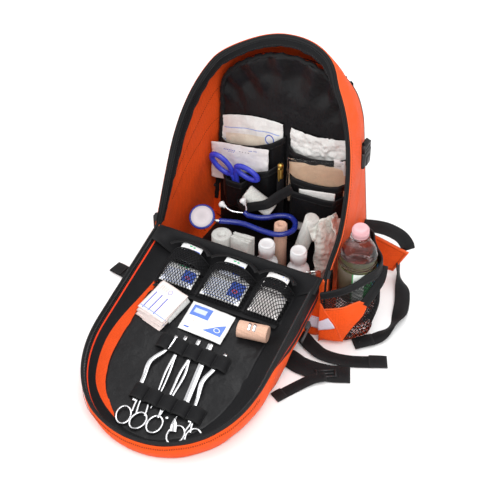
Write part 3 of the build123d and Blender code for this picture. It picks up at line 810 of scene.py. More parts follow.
def make_body():
    """Orange wall, front wall, floor and back panel of the pack."""
    def outer(s, t):
        p = wall(s, t)
        return Vector((p.x, p.y, max(p.z, 0.0006)))

    sheet("body_wall", outer, (220, 34), "orange", "pack", 0.0024, (1.3, 0.25), 1.0, False,
          ("main_shell",))

    def front(s, t):
        left = mouth_edge(WALL_SHARE * t)
        x = left.x + s * -2 * left.x
        bulge = 0.006 * sin(pi * t) * sin(pi * s) ** 0.6
        return Vector((x, left.y - bulge + crease((x, 0, left.z), 0.0014, 16, 2), max(left.z, 0.001)))

    sheet("front_wall", front, (60, 24), "orange", "pack", 0.002, (0.3, 0.12), 0.0)

    def back(s, t):
        centre = Vector((0, BACK_Y, 0.18))
        return centre.lerp(closed(rear_edge, s) + Vector((0, -0.001, 0.001)), t)

    sheet("back_wall", back, (120, 14), "orange_inner", "pack", 0.002, (1.3, 0.2), 1.0)

    def base(s, t):
        front_left, rear_left = mouth_edge(0.004), rear_edge(0.004)
        left = front_left.lerp(rear_left, t)
        return Vector((left.x * (1 - 2 * s), left.y, 0.003))

    sheet("body_floor", base, (12, 12), "tape", "pack", 0.0015, (0.3, 0.2), 1.0)


def rim_band(s, back, lift=0.0):
    """Point of the zip tape inside the mouth, a flange on the left and over the top."""
    edge = mouth_edge(s)
    middle = Vector((0, HINGE.y + 0.17 * sin(LEAN), HINGE.z + 0.17 * cos(LEAN)))
    inward = (middle - edge).normalized()
    along = (rear_edge(s) - edge).normalized()
    flange = 0.36 * smooth(s, 0.13, 0.22) + 0.46 * smooth(s, 0.34, 0.46) - 0.82 * smooth(s, 0.54, 0.68)
    way = along.lerp(inward, flange).normalized()
    face = (mouth_edge(min(s + 0.003, 1.0)) - mouth_edge(s - 0.003)).cross(way).normalized()
    if face.dot(inward + Vector((0, -1, 0.5))) < 0:
        face = -face
    return edge + way * back + face * (0.003 + lift)


def rim_path(back, lift, count=200):
    stops = [WALL_SHARE + (1 - 2 * WALL_SHARE) * i / (count - 1) for i in range(count)]
    return [rim_band(s, back, lift) for s in stops]


def make_body_rim():
    """Zip tape round the mouth, its coil of teeth, binding cord and stitch lines."""
    def tape(s, t):
        a = WALL_SHARE + (1 - 2 * WALL_SHARE) * s
        ragged = 0.0026 * wave(s * 60, 0, 0, 1.0, 4)
        return rim_band(a, (0.0185 + ragged) * t - 0.001, 0.0014 * sin(pi * t))

    sheet("body_zip_band", tape, (260, 8), "tape", "pack", 0.0014, (1.1, 0.02), 0.0, False,
          ("body_zip_tape",))

    def over(s, t):
        """Binding that wraps the edge from the inside to the outside."""
        a = WALL_SHARE * 0.2 + (1 - WALL_SHARE * 0.4) * s
        inner = rim_band(a, 0.003, 0.0012)
        crest = mouth_edge(a) + (mouth_edge(a) - rear_edge(a)).normalized() * 0.0022
        wrap = 0.006 + 0.03 * smooth(inner.z, 0.2, 0.34) * (1 - smooth(a, 0.48, 0.57))
        outer = wall(a, wrap / wall_depth(a), -0.0014)
        if t < 0.5:
            return inner.lerp(crest, smooth(t, 0.0, 0.5))
        return crest.lerp(outer, smooth(t, 0.5, 1.0))

    sheet("body_rim_binding", over, (240, 8), "tape", "pack", 0.0014, (1.1, 0.02), 0.0)
    cord("body_rim_piping", rim_path(0.0034, 0.0018), 0.0019, "tape", "pack")
    teeth("body_zip_teeth", rim_path(0.0052, 0.002, 700), "enamel", "pack")
    stitches("body_tape_stitch", rim_path(0.0145, 0.0018), "thread_grey", "pack")
    stitches("body_outer_stitch", along_rim(0.0045, -0.0026), "thread_grey", "pack")
    for k, (low, high) in enumerate(((0.21, 0.33), (0.16, 0.27))):
        path = []
        for i in range(40):
            t = i / 39
            path.append(wall(low + (high - low) * sin(t * pi / 2), 0.16 + 0.66 * t, 0.0046))
        stitches(f"wall_seam_{k}", path, "thread_dark", "pack", 0.0036, FINE_THREAD)


LINING_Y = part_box("back_lining_panel")[0].y


def lining_edge(s):
    """Edge of the back lining, inside the wall."""
    front, rear = mouth_edge(s), rear_edge(s)
    p = front.lerp(rear, (LINING_Y - front.y) / (rear.y - front.y))
    inward = (Vector((0, LINING_Y, 0.2)) - p).normalized()
    p += inward * (0.005 + 0.006 * smooth(p.z, 0.3, 0.4))
    return Vector((p.x, LINING_Y, max(p.z, 0.006)))


def make_back_lining():
    """Black back panel with gathered folds that run out to its curved, bound top edge."""
    def panel(s, t):
        p = Vector((0, LINING_Y, 0.16)).lerp(closed(lining_edge, s), t) - Vector((0, 0.002, 0))
        high = smooth(p.z, 0.24, 0.34)
        folds = sin(s * 2 * pi * 23 + 3 * wave(s * 5, 0, 0, 1, 8)) * smooth(t, 0.55, 0.95) * high
        p.y -= 0.004 * folds + crease(p, 0.004, 15, 3) * (0.3 + high) + 0.014 * smooth(t, 0.8, 1.0) * high
        return p

    sheet("back_lining", panel, (260, 44), "lining", "pack", 0.0012, (0.9, 0.2), 0.0, False,
          ("back_lining_panel", "frame_sheet", "base_board"))
    edge = []
    for i in range(140):
        p = lining_edge(0.06 + 0.88 * i / 139)
        ruffle = 0.0012 * sin(i * 1.9)
        edge.append(p + Vector((0, ruffle - 0.003 - 0.014 * smooth(p.z, 0.24, 0.34), ruffle)))
    cord("lining_binding", edge, 0.004, "tape", "pack")


# ------------------------------------------------------------------ organiser pockets on the back


def make_pouch(name, x0, x1, y_front, y_back, z0, z_left, z_right, sag, stands_for=()):
    """Flat pouch sewn on three sides: a bulging front sheet and a bound, drooping hem."""
    def hem_z(s):
        return z_left + (z_right - z_left) * s - sag * sin(pi * s)

    def front(s, t):
        z = z0 + (hem_z(s) - z0) * t
        x = x0 + (x1 - x0) * s
        full = min(sin(pi * s) * 2.2, 1.0) ** 0.7 * smooth(t, 0.0, 0.35)
        y = y_back + (y_front - y_back) * full
        return Vector((x, y + crease((x, 0, z), 0.0016, 26, x0 * 10), z))

    sheet(name, front, (40, 24), "lining", "pack", 0.0012, (0.12, 0.08), 0.0, False, stands_for)

    def hem(s, t):
        p = front(s, 1.0)
        return p + Vector((0, -0.0016, -0.0125 * (1 - t) + 0.0008))

    sheet(f"{name}_hem", hem, (40, 3), "tape", "pack", 0.0016, (0.12, 0.012), 0.0)
    stitches(f"{name}_stitch", [hem(i / 30, 0.15) + Vector((0, -0.0012, 0)) for i in range(31)],
             "thread_grey", "pack", 0.0036, FINE_THREAD)


def make_organiser():
    """Six pouches on the back lining, and the strap over the gauze roll."""
    y = LINING_Y
    make_pouch("pocket_upper_left", -0.123, -0.004, y - 0.016, y - 0.003, 0.12, 0.19, 0.228, 0.011,
               ("organiser_pockets_left",))
    make_pouch("pocket_lower_left", -0.119, -0.006, y - 0.032, y - 0.003, 0.06, 0.134, 0.177, 0.003)
    make_pouch("pocket_shears", -0.1, -0.06, y - 0.043, y - 0.026, 0.062, 0.137, 0.137, 0.002)
    make_pouch("pocket_upper_right", 0.002, 0.121, y - 0.017, y - 0.003, 0.13, 0.215, 0.233, 0.012,
               ("organiser_pockets_right",))
    make_pouch("pocket_middle_right", 0.004, 0.119, y - 0.028, y - 0.004, 0.11, 0.174, 0.184, 0.011)
    make_pouch("pocket_lower_right", 0.009, 0.117, y - 0.038, y - 0.005, 0.06, 0.152, 0.158, 0.005)
    make_roll_strap()


def make_roll_strap():
    """Elastic strap that runs aslant over the gauze roll."""
    line = [(-0.066, 0.038, 0.103), (-0.062, 0.014, 0.105), (-0.046, 0.002, 0.113),
            (-0.025, 0.0015, 0.125),
            (-0.003, 0.003, 0.137), (0.01, 0.02, 0.146), (0.026, 0.037, 0.155)]
    strap("roll_strap_band", line, 0.017, 0.0012, "pack", (0, -1, 0.1), material="elastic",
          stands_for=("roll_strap",))


def make_back_kit():
    """Packs, penlight and gauze roll held by the organiser pockets."""
    piece("dressing_pack", packet(at(-0.065, 0.07, 0.182, 89, 0, -1), (0.114, 0.122), 0.005, 0.0016, 3,
                                  (44, 40), 0.08, 0.16, 0.007), "pack_film", "pack", ("dressing_packs",))
    piece("crumpled_pack", packet(at(0.062, 0.0705, 0.196, 89, 0, 1), (0.112, 0.118), 0.006, 0.0045, 11,
                                  (70, 66), 0.05, 0.1, -0.008), "plain_film", "pack")
    piece("paper_pack_print", packet(at(-0.079, 0.0525, 0.16, 88, 0, 0), (0.106, 0.074), 0.002, 0.0016, 5,
                                     (36, 40), 0.05, 0.14), "printed_paper", "pack", ("paper_pack",))
    piece("beige_pad", packet(at(0.061, 0.055, 0.164, 87, 0, 1), (0.098, 0.08), 0.007, 0.0008, 7,
                              (36, 30), 0.04, 0.2), "beige_pad", "pack", ("beige_pack",))
    piece("beige_film", packet(at(0.061, 0.054, 0.168, 87, 0, 1), (0.106, 0.088), 0.01, 0.0014, 8,
                               (36, 30), 0.04, 0.2), "clear_film", "pack")
    piece("white_slip", packet(at(0.067, 0.043, 0.116, 88, 0, 0), (0.064, 0.086), 0.0014, 0.0006, 9,
                               (30, 30), 0.03, 0.18), "plain_film", "pack", ("slip_card",))
    piece("small_box", slab(at(0.099, 0.0585, 0.21, 88, -8, 0), (0.02, 0.028, 0.004)), "dot_card", "pack")
    clip = [(0, -0.0005), (0.0042, 0), (0.0046, 0.003), (0.0046, 0.104), (0.004, 0.106), (0.004, 0.1075),
            (0.0047, 0.108), (0.0047, 0.1145), (0.003, 0.117), (0, 0.1175)]
    axis = foot_of("penlight")
    piece("penlight_barrel", lathe(clip, axis, 24), "brass", "pack", ("penlight",))
    bend = ((0, -0.0045, 0.111), (0, -0.0066, 0.11), (0, -0.0068, 0.096), (0.0004, -0.006, 0.084))
    strap("penlight_clip", [axis @ Vector(q) for q in bend], 0.003, 0.0007, "pack", (0, -1, 0), 20,
          "brass")
    sleeve = [(0.005, 0.088), (0.0056, 0.0885), (0.0058, 0.086), (0.0056, 0.06), (0.0058, 0.004),
              (0.004, -0.001)]
    piece("penlight_sleeve", lathe(sleeve, axis, 24), "tape", "pack")
    roll = at(-0.025, 0.018, 0.123, 0, -63, 0)
    wound = [(0, -0.026), (0.006, -0.0255), (0.0075, -0.0268), (0.01, -0.0258), (0.0118, -0.027),
             (0.0134, -0.0258),
             (0.014, -0.021), (0.0137, 0.0), (0.0141, 0.021), (0.0135, 0.0255), (0.0115, 0.027),
             (0.01, 0.0262),
             (0.008, 0.0272), (0.006, 0.026), (0.0036, 0.0268), (0, 0.0258)]
    piece("gauze_roll_wound", lathe(wound, roll, 44, 0.0012), "gauze", "pack", ("gauze_roll",))


def make_shears():
    """Trauma shears: two moulded bows, a neck and the closed blades in their leaning pocket."""
    leaning = Matrix.Translation((0, 0.046, 0.06)) @ Matrix.Rotation(radians(9), 4, "X")
    depth = 0.006
    bows = []
    for x, height, long, broad, turn in ((-0.104, 0.103, 0.0222, 0.0122, -48),
                                         (-0.057, 0.099, 0.02, 0.0104, -22)):
        turn = radians(turn)
        ring = []
        for k in range(50):
            a = 2 * pi * k / 48
            u, w = long * cos(a), broad * sin(a)
            ring.append(leaning @ Vector((x + u * cos(turn) - w * sin(turn), depth,
                                          height + u * sin(turn) + w * cos(turn))))
        bows.append(sweep(ring, round_section(0.005, 14, 0.8), (0, 1, 0)))
    arms = (((-0.0905, 0.0885), (-0.0855, 0.082), (-0.0832, 0.074), (-0.0825, 0.062)),
            ((-0.075, 0.105), (-0.0775, 0.095), (-0.0785, 0.082), (-0.079, 0.062)))
    for arm in arms:
        path = [leaning @ Vector((x, depth, height)) for x, height in arm]
        bows.append(sweep(spline(path, 20), round_section(0.005, 12, 0.8), (0, 1, 0)))
    piece("shears_bows", join(bows), "blue_plastic", "trauma_shears", ("trauma_shears",))
    blades = [slab(leaning @ at(-0.081 + side * 0.001, depth + side * 0.0008, 0.036, 90, side, 0),
                   (0.0088, 0.06, 0.0014), 0.0006) for side in (-1, 1)]
    piece("shears_blades", join(blades), "steel", "trauma_shears")


# ------------------------------------------------------------------ kit in the bottom of the pack


def make_bottom_kit():
    """Rolls, folded gauze, bottles, stethoscope and soft packs in the bottom of the pack."""
    for k, node in enumerate(("tape_roll", "beige_roll")):
        _, size = middle_of(node)
        radius, top = size.x / 2, size.z
        edge = 0.002
        layers = [(0, top - 0.003), (radius * 0.35, top - 0.003), (radius * 0.38, top - 0.0004),
                  (radius * 0.6, top - 0.001), (radius * 0.8, top), (radius - edge, top),
                  (radius, top - edge),
                  (radius * 0.985, top * 0.5), (radius, edge), (radius - edge, 0), (0, 0)]
        piece(f"{node}_wound", lathe(layers, foot_of(node), 40, 0.0006), "crepe" if k else "gauze",
              "pack", (node,))
    centre, size = middle_of("gauze_block")
    folds = [packet(at(centre.x, centre.y + 0.0055 * (k - 2), centre.z - 0.002 * (k % 2), 90, 0,
                       2 * k - 3),
                    (size.x, size.z), 0.006, 0.0012, 20 + k, (20, 36), 0.05) for k in range(4)]
    piece("gauze_folds", join(folds), "gauze", "pack", ("gauze_block",))
    make_pill_bottles()
    make_stethoscope()
    make_soft_kit()


def make_pill_bottles():
    """Round white bottles with ribbed caps."""
    body = [(0, 0), (0.017, 0), (0.019, 0.002), (0.019, 0.06), (0.0175, 0.066), (0.0115, 0.0708),
            (0.01, 0.073),
            (0.01, 0.088)]
    cap = [(0.0112, 0.0), (0.0126, 0.0004), (0.013, 0.002), (0.013, 0.021), (0.0122, 0.0236),
           (0.01, 0.024),
           (0.0092, 0.0234), (0, 0.0232)]
    low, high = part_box("pill_bottles")
    y_low, y_high = low.y + 0.019, high.y - 0.019
    bottles, caps, ribs = [], [], []
    for x, y in ((low.x + 0.019, y_low), (high.x - 0.019, y_high)):
        bottles.append(lathe(body, at(x, y, low.z), 40))
        caps.append(lathe(cap, at(x, y, 0.088), 48))
        for k in range(40):
            a = 2 * pi * k / 40
            p = Vector((x + 0.013 * cos(a), y + 0.013 * sin(a), 0.0905))
            ribs.append(sweep([p, p + Vector((0, 0, 0.018))], round_section(0.0005, 5)))
    piece("pill_bottle_bodies", join(bottles), "white_plastic", "pack", ("pill_bottles",))
    piece("pill_caps", join(caps + ribs), "white_plastic", "pack", ("pill_bottle_caps",))


def make_stethoscope():
    """Chest piece, tubing, steel ear tubes and soft tips."""
    line = [(-0.066, -0.048, 0.116), (-0.03, -0.034, 0.113), (0.01, -0.036, 0.113),
            (0.036, -0.032, 0.113),
            (0.051, -0.014, 0.113), (0.047, 0.006, 0.113), (0.032, 0.016, 0.113), (0.014, 0.01, 0.113),
            (0.0, -0.002, 0.113), (-0.014, -0.009, 0.113), (-0.032, -0.013, 0.114)]
    tube("stethoscope_hose", line, 0.0045, "tubing", "pack", 90, 14, 1.0, ("stethoscope_tube",))
    face = at(-0.092, -0.058, 0.122, 32, 8, 0)
    bell = [(0, -0.0125), (0.011, -0.012), (0.0122, -0.0095), (0.0122, -0.005), (0.0175, -0.0036),
            (0.02, -0.002),
            (0.0202, 0.0005)]
    piece("chest_piece_bell", lathe(bell, face, 44), "steel", "pack", ("stethoscope_chest_piece",))
    rim = [(0.0196, -0.0012), (0.0212, -0.0004), (0.0216, 0.0012), (0.0208, 0.003), (0.019, 0.0036),
           (0.0182, 0.003)]
    piece("chest_piece_rim", lathe(rim, face, 48), "tubing", "pack")
    disc = [(0.0186, 0.0028), (0.012, 0.0031), (0, 0.0032)]
    piece("chest_piece_diaphragm", lathe(disc, face, 48), "diaphragm", "pack")
    stem = [face @ Vector((0.014, 0.006, -0.008)), Vector((-0.072, -0.05, 0.116)),
            Vector((-0.064, -0.0472, 0.1159))]
    tube("chest_piece_stem", stem, 0.0026, "steel", "pack", 16)
    runs = (((-0.039, -0.014, 0.117), (-0.056, -0.022, 0.121), (-0.069, -0.02, 0.124)),
            ((-0.036, -0.008, 0.119), (-0.037, -0.006, 0.124), (-0.04, -0.005, 0.128)))
    arms = [sweep(spline(run, 30), round_section(0.0017, 10)) for run in runs]
    piece("ear_tubes", join(arms), "steel", "pack", ("stethoscope_binaurals",))
    tip = [(0, -0.0055), (0.0028, -0.0055), (0.0032, -0.002), (0.0056, 0.001), (0.0058, 0.0036),
           (0.0036, 0.0062),
           (0.0012, 0.0066), (0, 0.006)]
    tips = []
    for run in runs:
        a, b = Vector(run[1]), Vector(run[2])
        turn = (b - a).to_track_quat("Z", "Y").to_matrix().to_4x4()
        tips.append(lathe(tip, Matrix.Translation(b + (b - a).normalized() * 0.005) @ turn, 24))
    piece("ear_tips", join(tips), "white_plastic", "pack")
    fork = [(-0.031, -0.013, 0.114), (-0.034, -0.0125, 0.1155), (-0.038, -0.0125, 0.118)]
    tube("ear_tube_fork", fork, 0.004, "tubing", "pack", 12)


def make_soft_kit():
    """Rolled bandage, bag of gloves and foil packet on the right."""
    place = at(0.072, -0.008, 0.105, 0, 14, 0)
    wound = [(0, -0.045), (0.006, -0.0445), (0.011, -0.045), (0.012, -0.0435), (0.0117, -0.02),
             (0.0121, 0.0),
             (0.0116, 0.02), (0.012, 0.0435), (0.0105, 0.045), (0.008, 0.0442), (0.005, 0.0452),
             (0, 0.044)]
    piece("rolled_bandage_wound", lathe(wound, place, 40, 0.0009), "gauze", "pack", ("rolled_bandage",))
    centre, size = middle_of("glove_bag")
    top = centre.z + size.z / 2
    bag = packet(at(*centre, 90, 0, 60), (size.y + 0.01, size.z), 0.026, 0.005, 31, (50, 60), 0.05)
    piece("glove_bag_film", bag, "glove_film", "pack", ("glove_bag",))
    ruff = []
    for k in range(3):
        ruff.append(packet(at(centre.x - 0.012 + 0.01 * k, centre.y - 0.012 + 0.006 * k,
                              top - 0.008 + 0.003 * k, 70,
                              20 * k - 20, 40 + 30 * k), (0.04, 0.03), 0.004, 0.005, 41 + k, (22, 18),
                           0.02))
    piece("glove_cuffs", join(ruff), "glove_film", "pack")
    centre, size = middle_of("foil_packet")
    wrap = packet(at(*centre, 90, 0, 35), (0.026, size.z), 0.016, 0.003, 51, (26, 50), 0.06)
    piece("foil_wrap", wrap, "foil", "pack", ("foil_packet",))


# ------------------------------------------------------------------ lid

LID_SLOPE = radians(14)
LID_SHIFT = -0.005                     # the opened lid hangs a little to the left
LID_HALF = 0.144
LID_TIP = 0.353
LID_BASE_HALF = 0.13
LINING_H = -0.028                      # the lining lies below the lid's rim
LINING_HALF = 0.104
LINING_TIP = 0.335
LID_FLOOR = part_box("lid_shell")[0].z + 0.0015
LID_TURN = Matrix.Rotation(LID_SLOPE, 4, "X")


def on_rim_plane(u, v, h):
    """Point of the lid: u across, v away from the hinge, h above the rim plane."""
    return HINGE + LID_TURN.to_3x3() @ Vector((u, -v, h))


def on_lining(u, v, h, turn=0.0, tilt=0.0, roll=0.0):
    """Placement on the lid lining: local x across, local y towards the hinge, z up."""
    place = Matrix.Translation(on_rim_plane(u, v, LINING_H + h)) @ LID_TURN
    return place @ at(0, 0, 0, tilt, roll, turn)


def lid_edge(s, half, tip, straight=0.19, power=2.15):
    """Lid outline (u, v): from the hinge on the left, round the tip, to the hinge on the right."""
    side = -1 if s < 0.5 else 1
    rise = s if s < 0.5 else 1 - s
    if rise < 0.28:
        return side * half + LID_SHIFT, straight * rise / 0.28
    turn = (rise - 0.28) / 0.22 * pi / 2
    u = half * cos(turn) ** (2 / power)
    return side * u + LID_SHIFT, straight + (tip - straight) * sin(turn) ** (2 / power)


def lid_rim(s):
    return lid_edge(s, LID_HALF, LID_TIP)


def lid_outside(s, t, out=0.0):
    """Outer face of the lid: t 0 at the rim and 1 where it rests on the floor."""
    u, v = lid_rim(s)
    bu, bv = lid_edge(s, LID_BASE_HALF, LID_TIP + 0.006, 0.195, 2.2)
    rest = (LID_FLOOR - HINGE.z + bv * sin(LID_SLOPE)) / cos(LID_SLOPE)
    p = on_rim_plane(u, v, 0).lerp(on_rim_plane(bu + 0.004, bv, max(rest, -0.082)), t)
    away = Vector((u, -max(v - 0.19, 0.0) * 1.2, 0)).normalized()
    return p + away * (0.005 * sin(pi * t) + out + crease(p, 0.0022, 17, 6) * smooth(t, 0.0, 0.2))


def lid_inside(s, t):
    """Inner face of the lid: t 0 at the rim and 1 at the lining panel."""
    u, v = lid_rim(s)
    lu, lv = lid_edge(s, LINING_HALF, LINING_TIP, 0.2, 2.05)
    drop = LINING_H * (1 - max(1 - t, 0.0) ** 1.5)
    p = on_rim_plane(u + (lu - u) * t, v + (lv - v) * t, drop)
    p.z += crease(p, 0.0012, 20, 9) * smooth(t, 0.05, 0.3)
    return p


def make_lid_shell():
    """Outer wall with its zip stripes, the underside, and the striped inner wall."""
    def side_share(s):
        """1 along the straight sides, falling to 0 round the tip, sooner on the right."""
        return 1 - smooth(s, 0.3, 0.4) if s < 0.5 else smooth(s, 0.74, 0.86)

    outer_bands = (
        (lambda s: 0.1 + 0.2 * side_share(s), 4, "tape"),
        (lambda s: 0.1 + 0.235 * side_share(s) + 0.001, 2, "piping"),
        (lambda s: 0.1 + 0.42 * side_share(s) + 0.002, 3, "tape"),
        (lambda s: 1.0, 14, "orange"),
    )
    striped_sheet("lid_outer_wall", lid_outside, 220, outer_bands, "lid", 0.0022, 1.0,
                  ("lid_shell", "lid_zip_tape"))

    def left_share(s):
        """1 on the left of the lid, 0 from the tip round to the right."""
        return 1 - smooth(s, 0.36, 0.47)

    inner_bands = (
        (lambda s: 0.17, 4, "tape"),
        (lambda s: 0.17 + 0.045 * left_share(s) + 0.001, 2, "piping"),
        (lambda s: 1.0 - 0.5 * left_share(s) * smooth(s, 0.03, 0.3) + 0.002, 8, "tape"),
        (lambda s: 1.005, 10, "orange_inner"),
    )
    striped_sheet("lid_inner_wall", lid_inside, 220, inner_bands, "lid", 0.0014, -1.0,
                  ("pocket_zip_tape",))

    corner, tip = lid_outside(0.0, 1.0), lid_outside(0.5, 1.0)

    def under(s, t):
        """Flat on the floor towards the tip, rising with the lid's slope towards the hinge."""
        p = on_rim_plane(0, 0.17, 0).lerp(closed(lambda k: lid_outside(k, 1.0), s), 0.004 + 0.996 * t)
        ramp = corner.z + (p.y - corner.y) * tan(LID_SLOPE) - tip.z
        return Vector((p.x, p.y, tip.z + 0.5 * (ramp + sqrt(ramp * ramp + 0.002 ** 2))))

    sheet("lid_underside", under, (160, 36), "orange", "lid", 0.0015, (0.4, 0.4), 0.0)


def make_lid_rim():
    """Rim binding, zip teeth and stitch lines of the lid."""
    rim = [on_rim_plane(*lid_rim(i / 599), 0.0) for i in range(600)]
    cord("lid_rim_piping", [p + Vector((0, 0, 0.0008)) for p in rim[::3]], 0.0023, "tape", "lid")
    inner = [lid_inside(i / 599, 0.07) + Vector((0, 0, 0.0014)) for i in range(600)]
    teeth("lid_zip_teeth", inner, "enamel", "lid")
    stitches("lid_inner_stitch", [lid_inside(i / 199, 0.14) + Vector((0, 0, 0.0012)) for i in range(200)],
             "thread_grey", "lid")
    for k, t in enumerate((0.16, 0.2)):
        path = [lid_outside(0.3 + 0.4 * i / 119, t + 0.06, 0.0014) for i in range(120)]
        stitches(f"lid_tip_stitch_{k}", path, "thread_dark", "lid", 0.0034, FINE_THREAD)


def make_lid_lining():
    """Black lining panel with soft creases, and the fabric that crosses the hinge."""
    def panel(s, t):
        edge = closed(lambda k: Vector((*lid_edge(k, LINING_HALF + 0.004, LINING_TIP + 0.004, 0.2, 2.05),
                                        0)), s)
        p = Vector((0, 0.17, 0)).lerp(edge, t)
        return on_rim_plane(p.x, p.y, LINING_H + crease(p, 0.0026, 19, 11))

    sheet("lid_lining", panel, (160, 34), "lining", "lid", 0.0012, (0.6, 0.2), -1.0, False,
          ("lid_lining_panel",))

    def flap(s, t):
        u = (s * 2 - 1) * 0.145
        v = 0.05 * t - 0.02
        h = 0.001 - 0.0285 * smooth(v, 0.002, 0.03) * (1 - smooth(abs(u), 0.1, 0.142))
        p = on_rim_plane(u, v, h + 0.0016 * wave(u, v, 0, 34, 2))
        inside = HINGE + Vector((u, -v * 0.25, 0.002 + v * 0.9))
        return p.lerp(inside, 1 - smooth(v, -0.01, 0.004))

    hinge = sheet("hinge_flap", flap, (60, 16), "tape", None, 0.0014, (0.26, 0.05), 0.0)
    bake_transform(hinge)


# ------------------------------------------------------------------ lid contents


POCKETS = ((-0.112, -0.042), (-0.038, 0.042), (0.046, 0.108))   # left and right of each net pocket
HEM_V = 0.085                          # foot of the nets, from the hinge line
NET_FROM = 0.026                       # opening of the nets


def make_lid_pockets():
    """Three net pockets with bound, arched openings, a hem band and packs inside."""
    for k, (u0, u1) in enumerate(POCKETS):
        mid, half = (u0 + u1) / 2, (u1 - u0) / 2

        def puffed(s, t, mid=mid, half=half):
            x = s * 2 - 1
            v = HEM_V + 0.004 + (NET_FROM - 0.004 * (1 - x * x) - HEM_V) * t
            full = (1 - abs(x) ** 3.0) * min(sin(pi * min(t * 0.62 + 0.03, 1.0)) * 1.15, 1.0)
            h = 0.003 + 0.0245 * full + 0.001 * wave(x, t, k, 3.0, 4)
            return on_rim_plane(mid + x * half, v, LINING_H + h)

        net(f"net_pocket_{k}", puffed, 2 * round((u1 - u0) / 0.005), 18, 0.0017, "lid",
            ("mesh_pockets",) if k == 0 else ())
        rim = [puffed(i / 30, 1.0) + Vector((0, 0, 0.001)) for i in range(31)]
        cord(f"net_opening_{k}", rim, 0.0013, "tape", "lid")
        lip = [on_rim_plane(mid + x * half, 0.0245 - 0.015 * (1 - x * x) ** 0.8, LINING_H + 0.0255)
               for x in (i / 12 - 1 for i in range(25))]
        strap(f"net_lip_{k}", lip, 0.0075, 0.002, "lid", (0, 0.24, 0.97), material="tape")

        # Dark sheet under the upper part of each net: partly the doubled netting there, partly painted
        # shade that hides the pack behind it.
        doubling_shade_start = (0.66, 0.8, 0.74)[k]

        def shadow(s, t, puffed=puffed, doubling_shade_start=doubling_shade_start):
            p = puffed(0.01 + 0.98 * s, doubling_shade_start + (1 - doubling_shade_start) * t)
            return p - Vector((0, 0, 0.0012))

        sheet(f"net_doubling_shade_{k}", shadow, (20, 8), "tape", "lid", 0.0006)
        print_key = ("card", "card", "dot_card")[k]
        tab = packet(on_lining(mid, NET_FROM + 0.003, 0.0215, -3, 4), (0.037, 0.032), 0.0012, 0.0005,
                     60 + k,
                     (24, 18), 0.05)
        piece(f"card_tab_{k}", tab, print_key, "lid", ("card_packs",) if k == 0 else ())
        long = (0.038, 0.05, 0.046)[k]
        body = packet(on_lining(mid, 0.083 - long / 2, 0.008, 0, 0), (u1 - u0 - 0.012, long), 0.011,
                      0.0008, 70 + k,
                      (28, 24), 0.06)
        piece(f"net_pack_{k}", body, print_key, "lid")
    for u in (POCKETS[0][0], (POCKETS[0][1] + POCKETS[1][0]) / 2, (POCKETS[1][1] + POCKETS[2][0]) / 2,
              POCKETS[2][1]):
        line = [on_rim_plane(u, 0.016 + 0.07 * i / 9, LINING_H + 0.003) for i in range(10)]
        strap(f"net_divider_{round(u * 1000) + 200}", line, 0.005, 0.0012, "lid", (0, 0.24, 0.97),
              material="tape")
    band = [on_rim_plane(u, (HEM_V + 0.098) / 2 + 0.002 * wave(u, 0, 0, 20, 1), LINING_H + 0.0035)
            for u in (-0.11, -0.075, -0.04, 0.0, 0.044, 0.08, 0.106)]
    strap("net_hem_band", band, 0.014, 0.0016, "lid", (0, 0.24, 0.97), material="elastic",
          stands_for=("mesh_hem_band",))


def make_lid_packs():
    """Plaster strips, gauze pack and elastic bandage below the net pockets."""
    strips = []
    for k in range(7):
        place = on_lining(-0.079 + 0.0006 * k, 0.131 - 0.0014 * k, 0.002 + 0.0024 * k,
                          -15 + 2.2 * (k % 3), 1, -2)
        strips.append(packet(place, (0.054, 0.06), 0.0016, 0.0006, 80 + k, (18, 18), 0.05))
    piece("plaster_strips", join(strips), "plaster_paper", "lid", ("plaster_stack",))
    edge = packet(on_lining(-0.05, 0.124, 0.01, -14, 0, 66), (0.016, 0.05), 0.003, 0.0012, 90, (12, 20),
                  0.04)
    piece("plaster_side", edge, "plain_film", "lid")
    gauze = packet(on_lining(0.003, 0.1265, 0.0065, -2, 2, 0), (0.076, 0.052), 0.008, 0.0012, 95,
                   (40, 30), 0.07)
    piece("gauze_pack_print", gauze, "gauze_film", "lid", ("gauze_pack",))
    roll = on_lining(0.08, 0.118, 0.014, 0) @ at(0, 0, 0, 0, 90, 8)
    wound = [(0, -0.024), (0.005, -0.0232), (0.0065, -0.0242), (0.009, -0.0233), (0.011, -0.0242),
             (0.013, -0.0235), (0.0134, -0.0215), (0.0132, 0.0), (0.0134, 0.0215), (0.013, 0.0235),
             (0.011, 0.0242), (0.009, 0.0233), (0.0065, 0.0242), (0.005, 0.0232), (0, 0.024)]
    piece("elastic_bandage_wound", lathe(wound, roll, 44, 0.0005), "crepe", "lid", ("elastic_bandage",))
    for k in (-1, 1):
        clip = [roll @ Vector((-0.0142 * cos(a), 0.0142 * sin(a), k * 0.004)) for a in (-0.5, -0.2, 0.1,
                                                                                        0.4)]
        strap(f"bandage_clip_{k + 1}", clip, 0.005, 0.0006, "lid", (0.3, 0, 0.95), 12, "steel")


# near and far edge from the hinge line, then left and right end
LOOP_ROWS = ((0.168, 0.193, -0.055, 0.068), (0.26, 0.285, -0.05, 0.072))


def make_instrument_loops():
    """Two elastic bands, tacked down between the instruments."""
    for k, (v0, v1, u0, u1) in enumerate(LOOP_ROWS):
        def band(s, t, v0=v0, v1=v1, u0=u0, u1=u1):
            lift = abs(sin(pi * 5 * s)) ** 0.6
            u = u0 + (u1 - u0) * s
            droop = 0.003 * s
            return on_rim_plane(u, v0 + (v1 - v0) * t + droop, LINING_H + 0.002 + 0.0072 * lift)

        sheet(f"instrument_loop_{k}", band, (90, 8), "tape", "lid", 0.0014, (0.12, 0.025), 0.0, False,
              ("instrument_loops",) if k == 0 else ())
        for n in range(6):
            s = n / 5
            line = [band(s, t / 8) + Vector((0, 0, 0.0012)) for t in range(9)]
            stitches(f"loop_tack_{k}_{n}", line, "thread_grey", "lid", 0.003, FINE_THREAD)


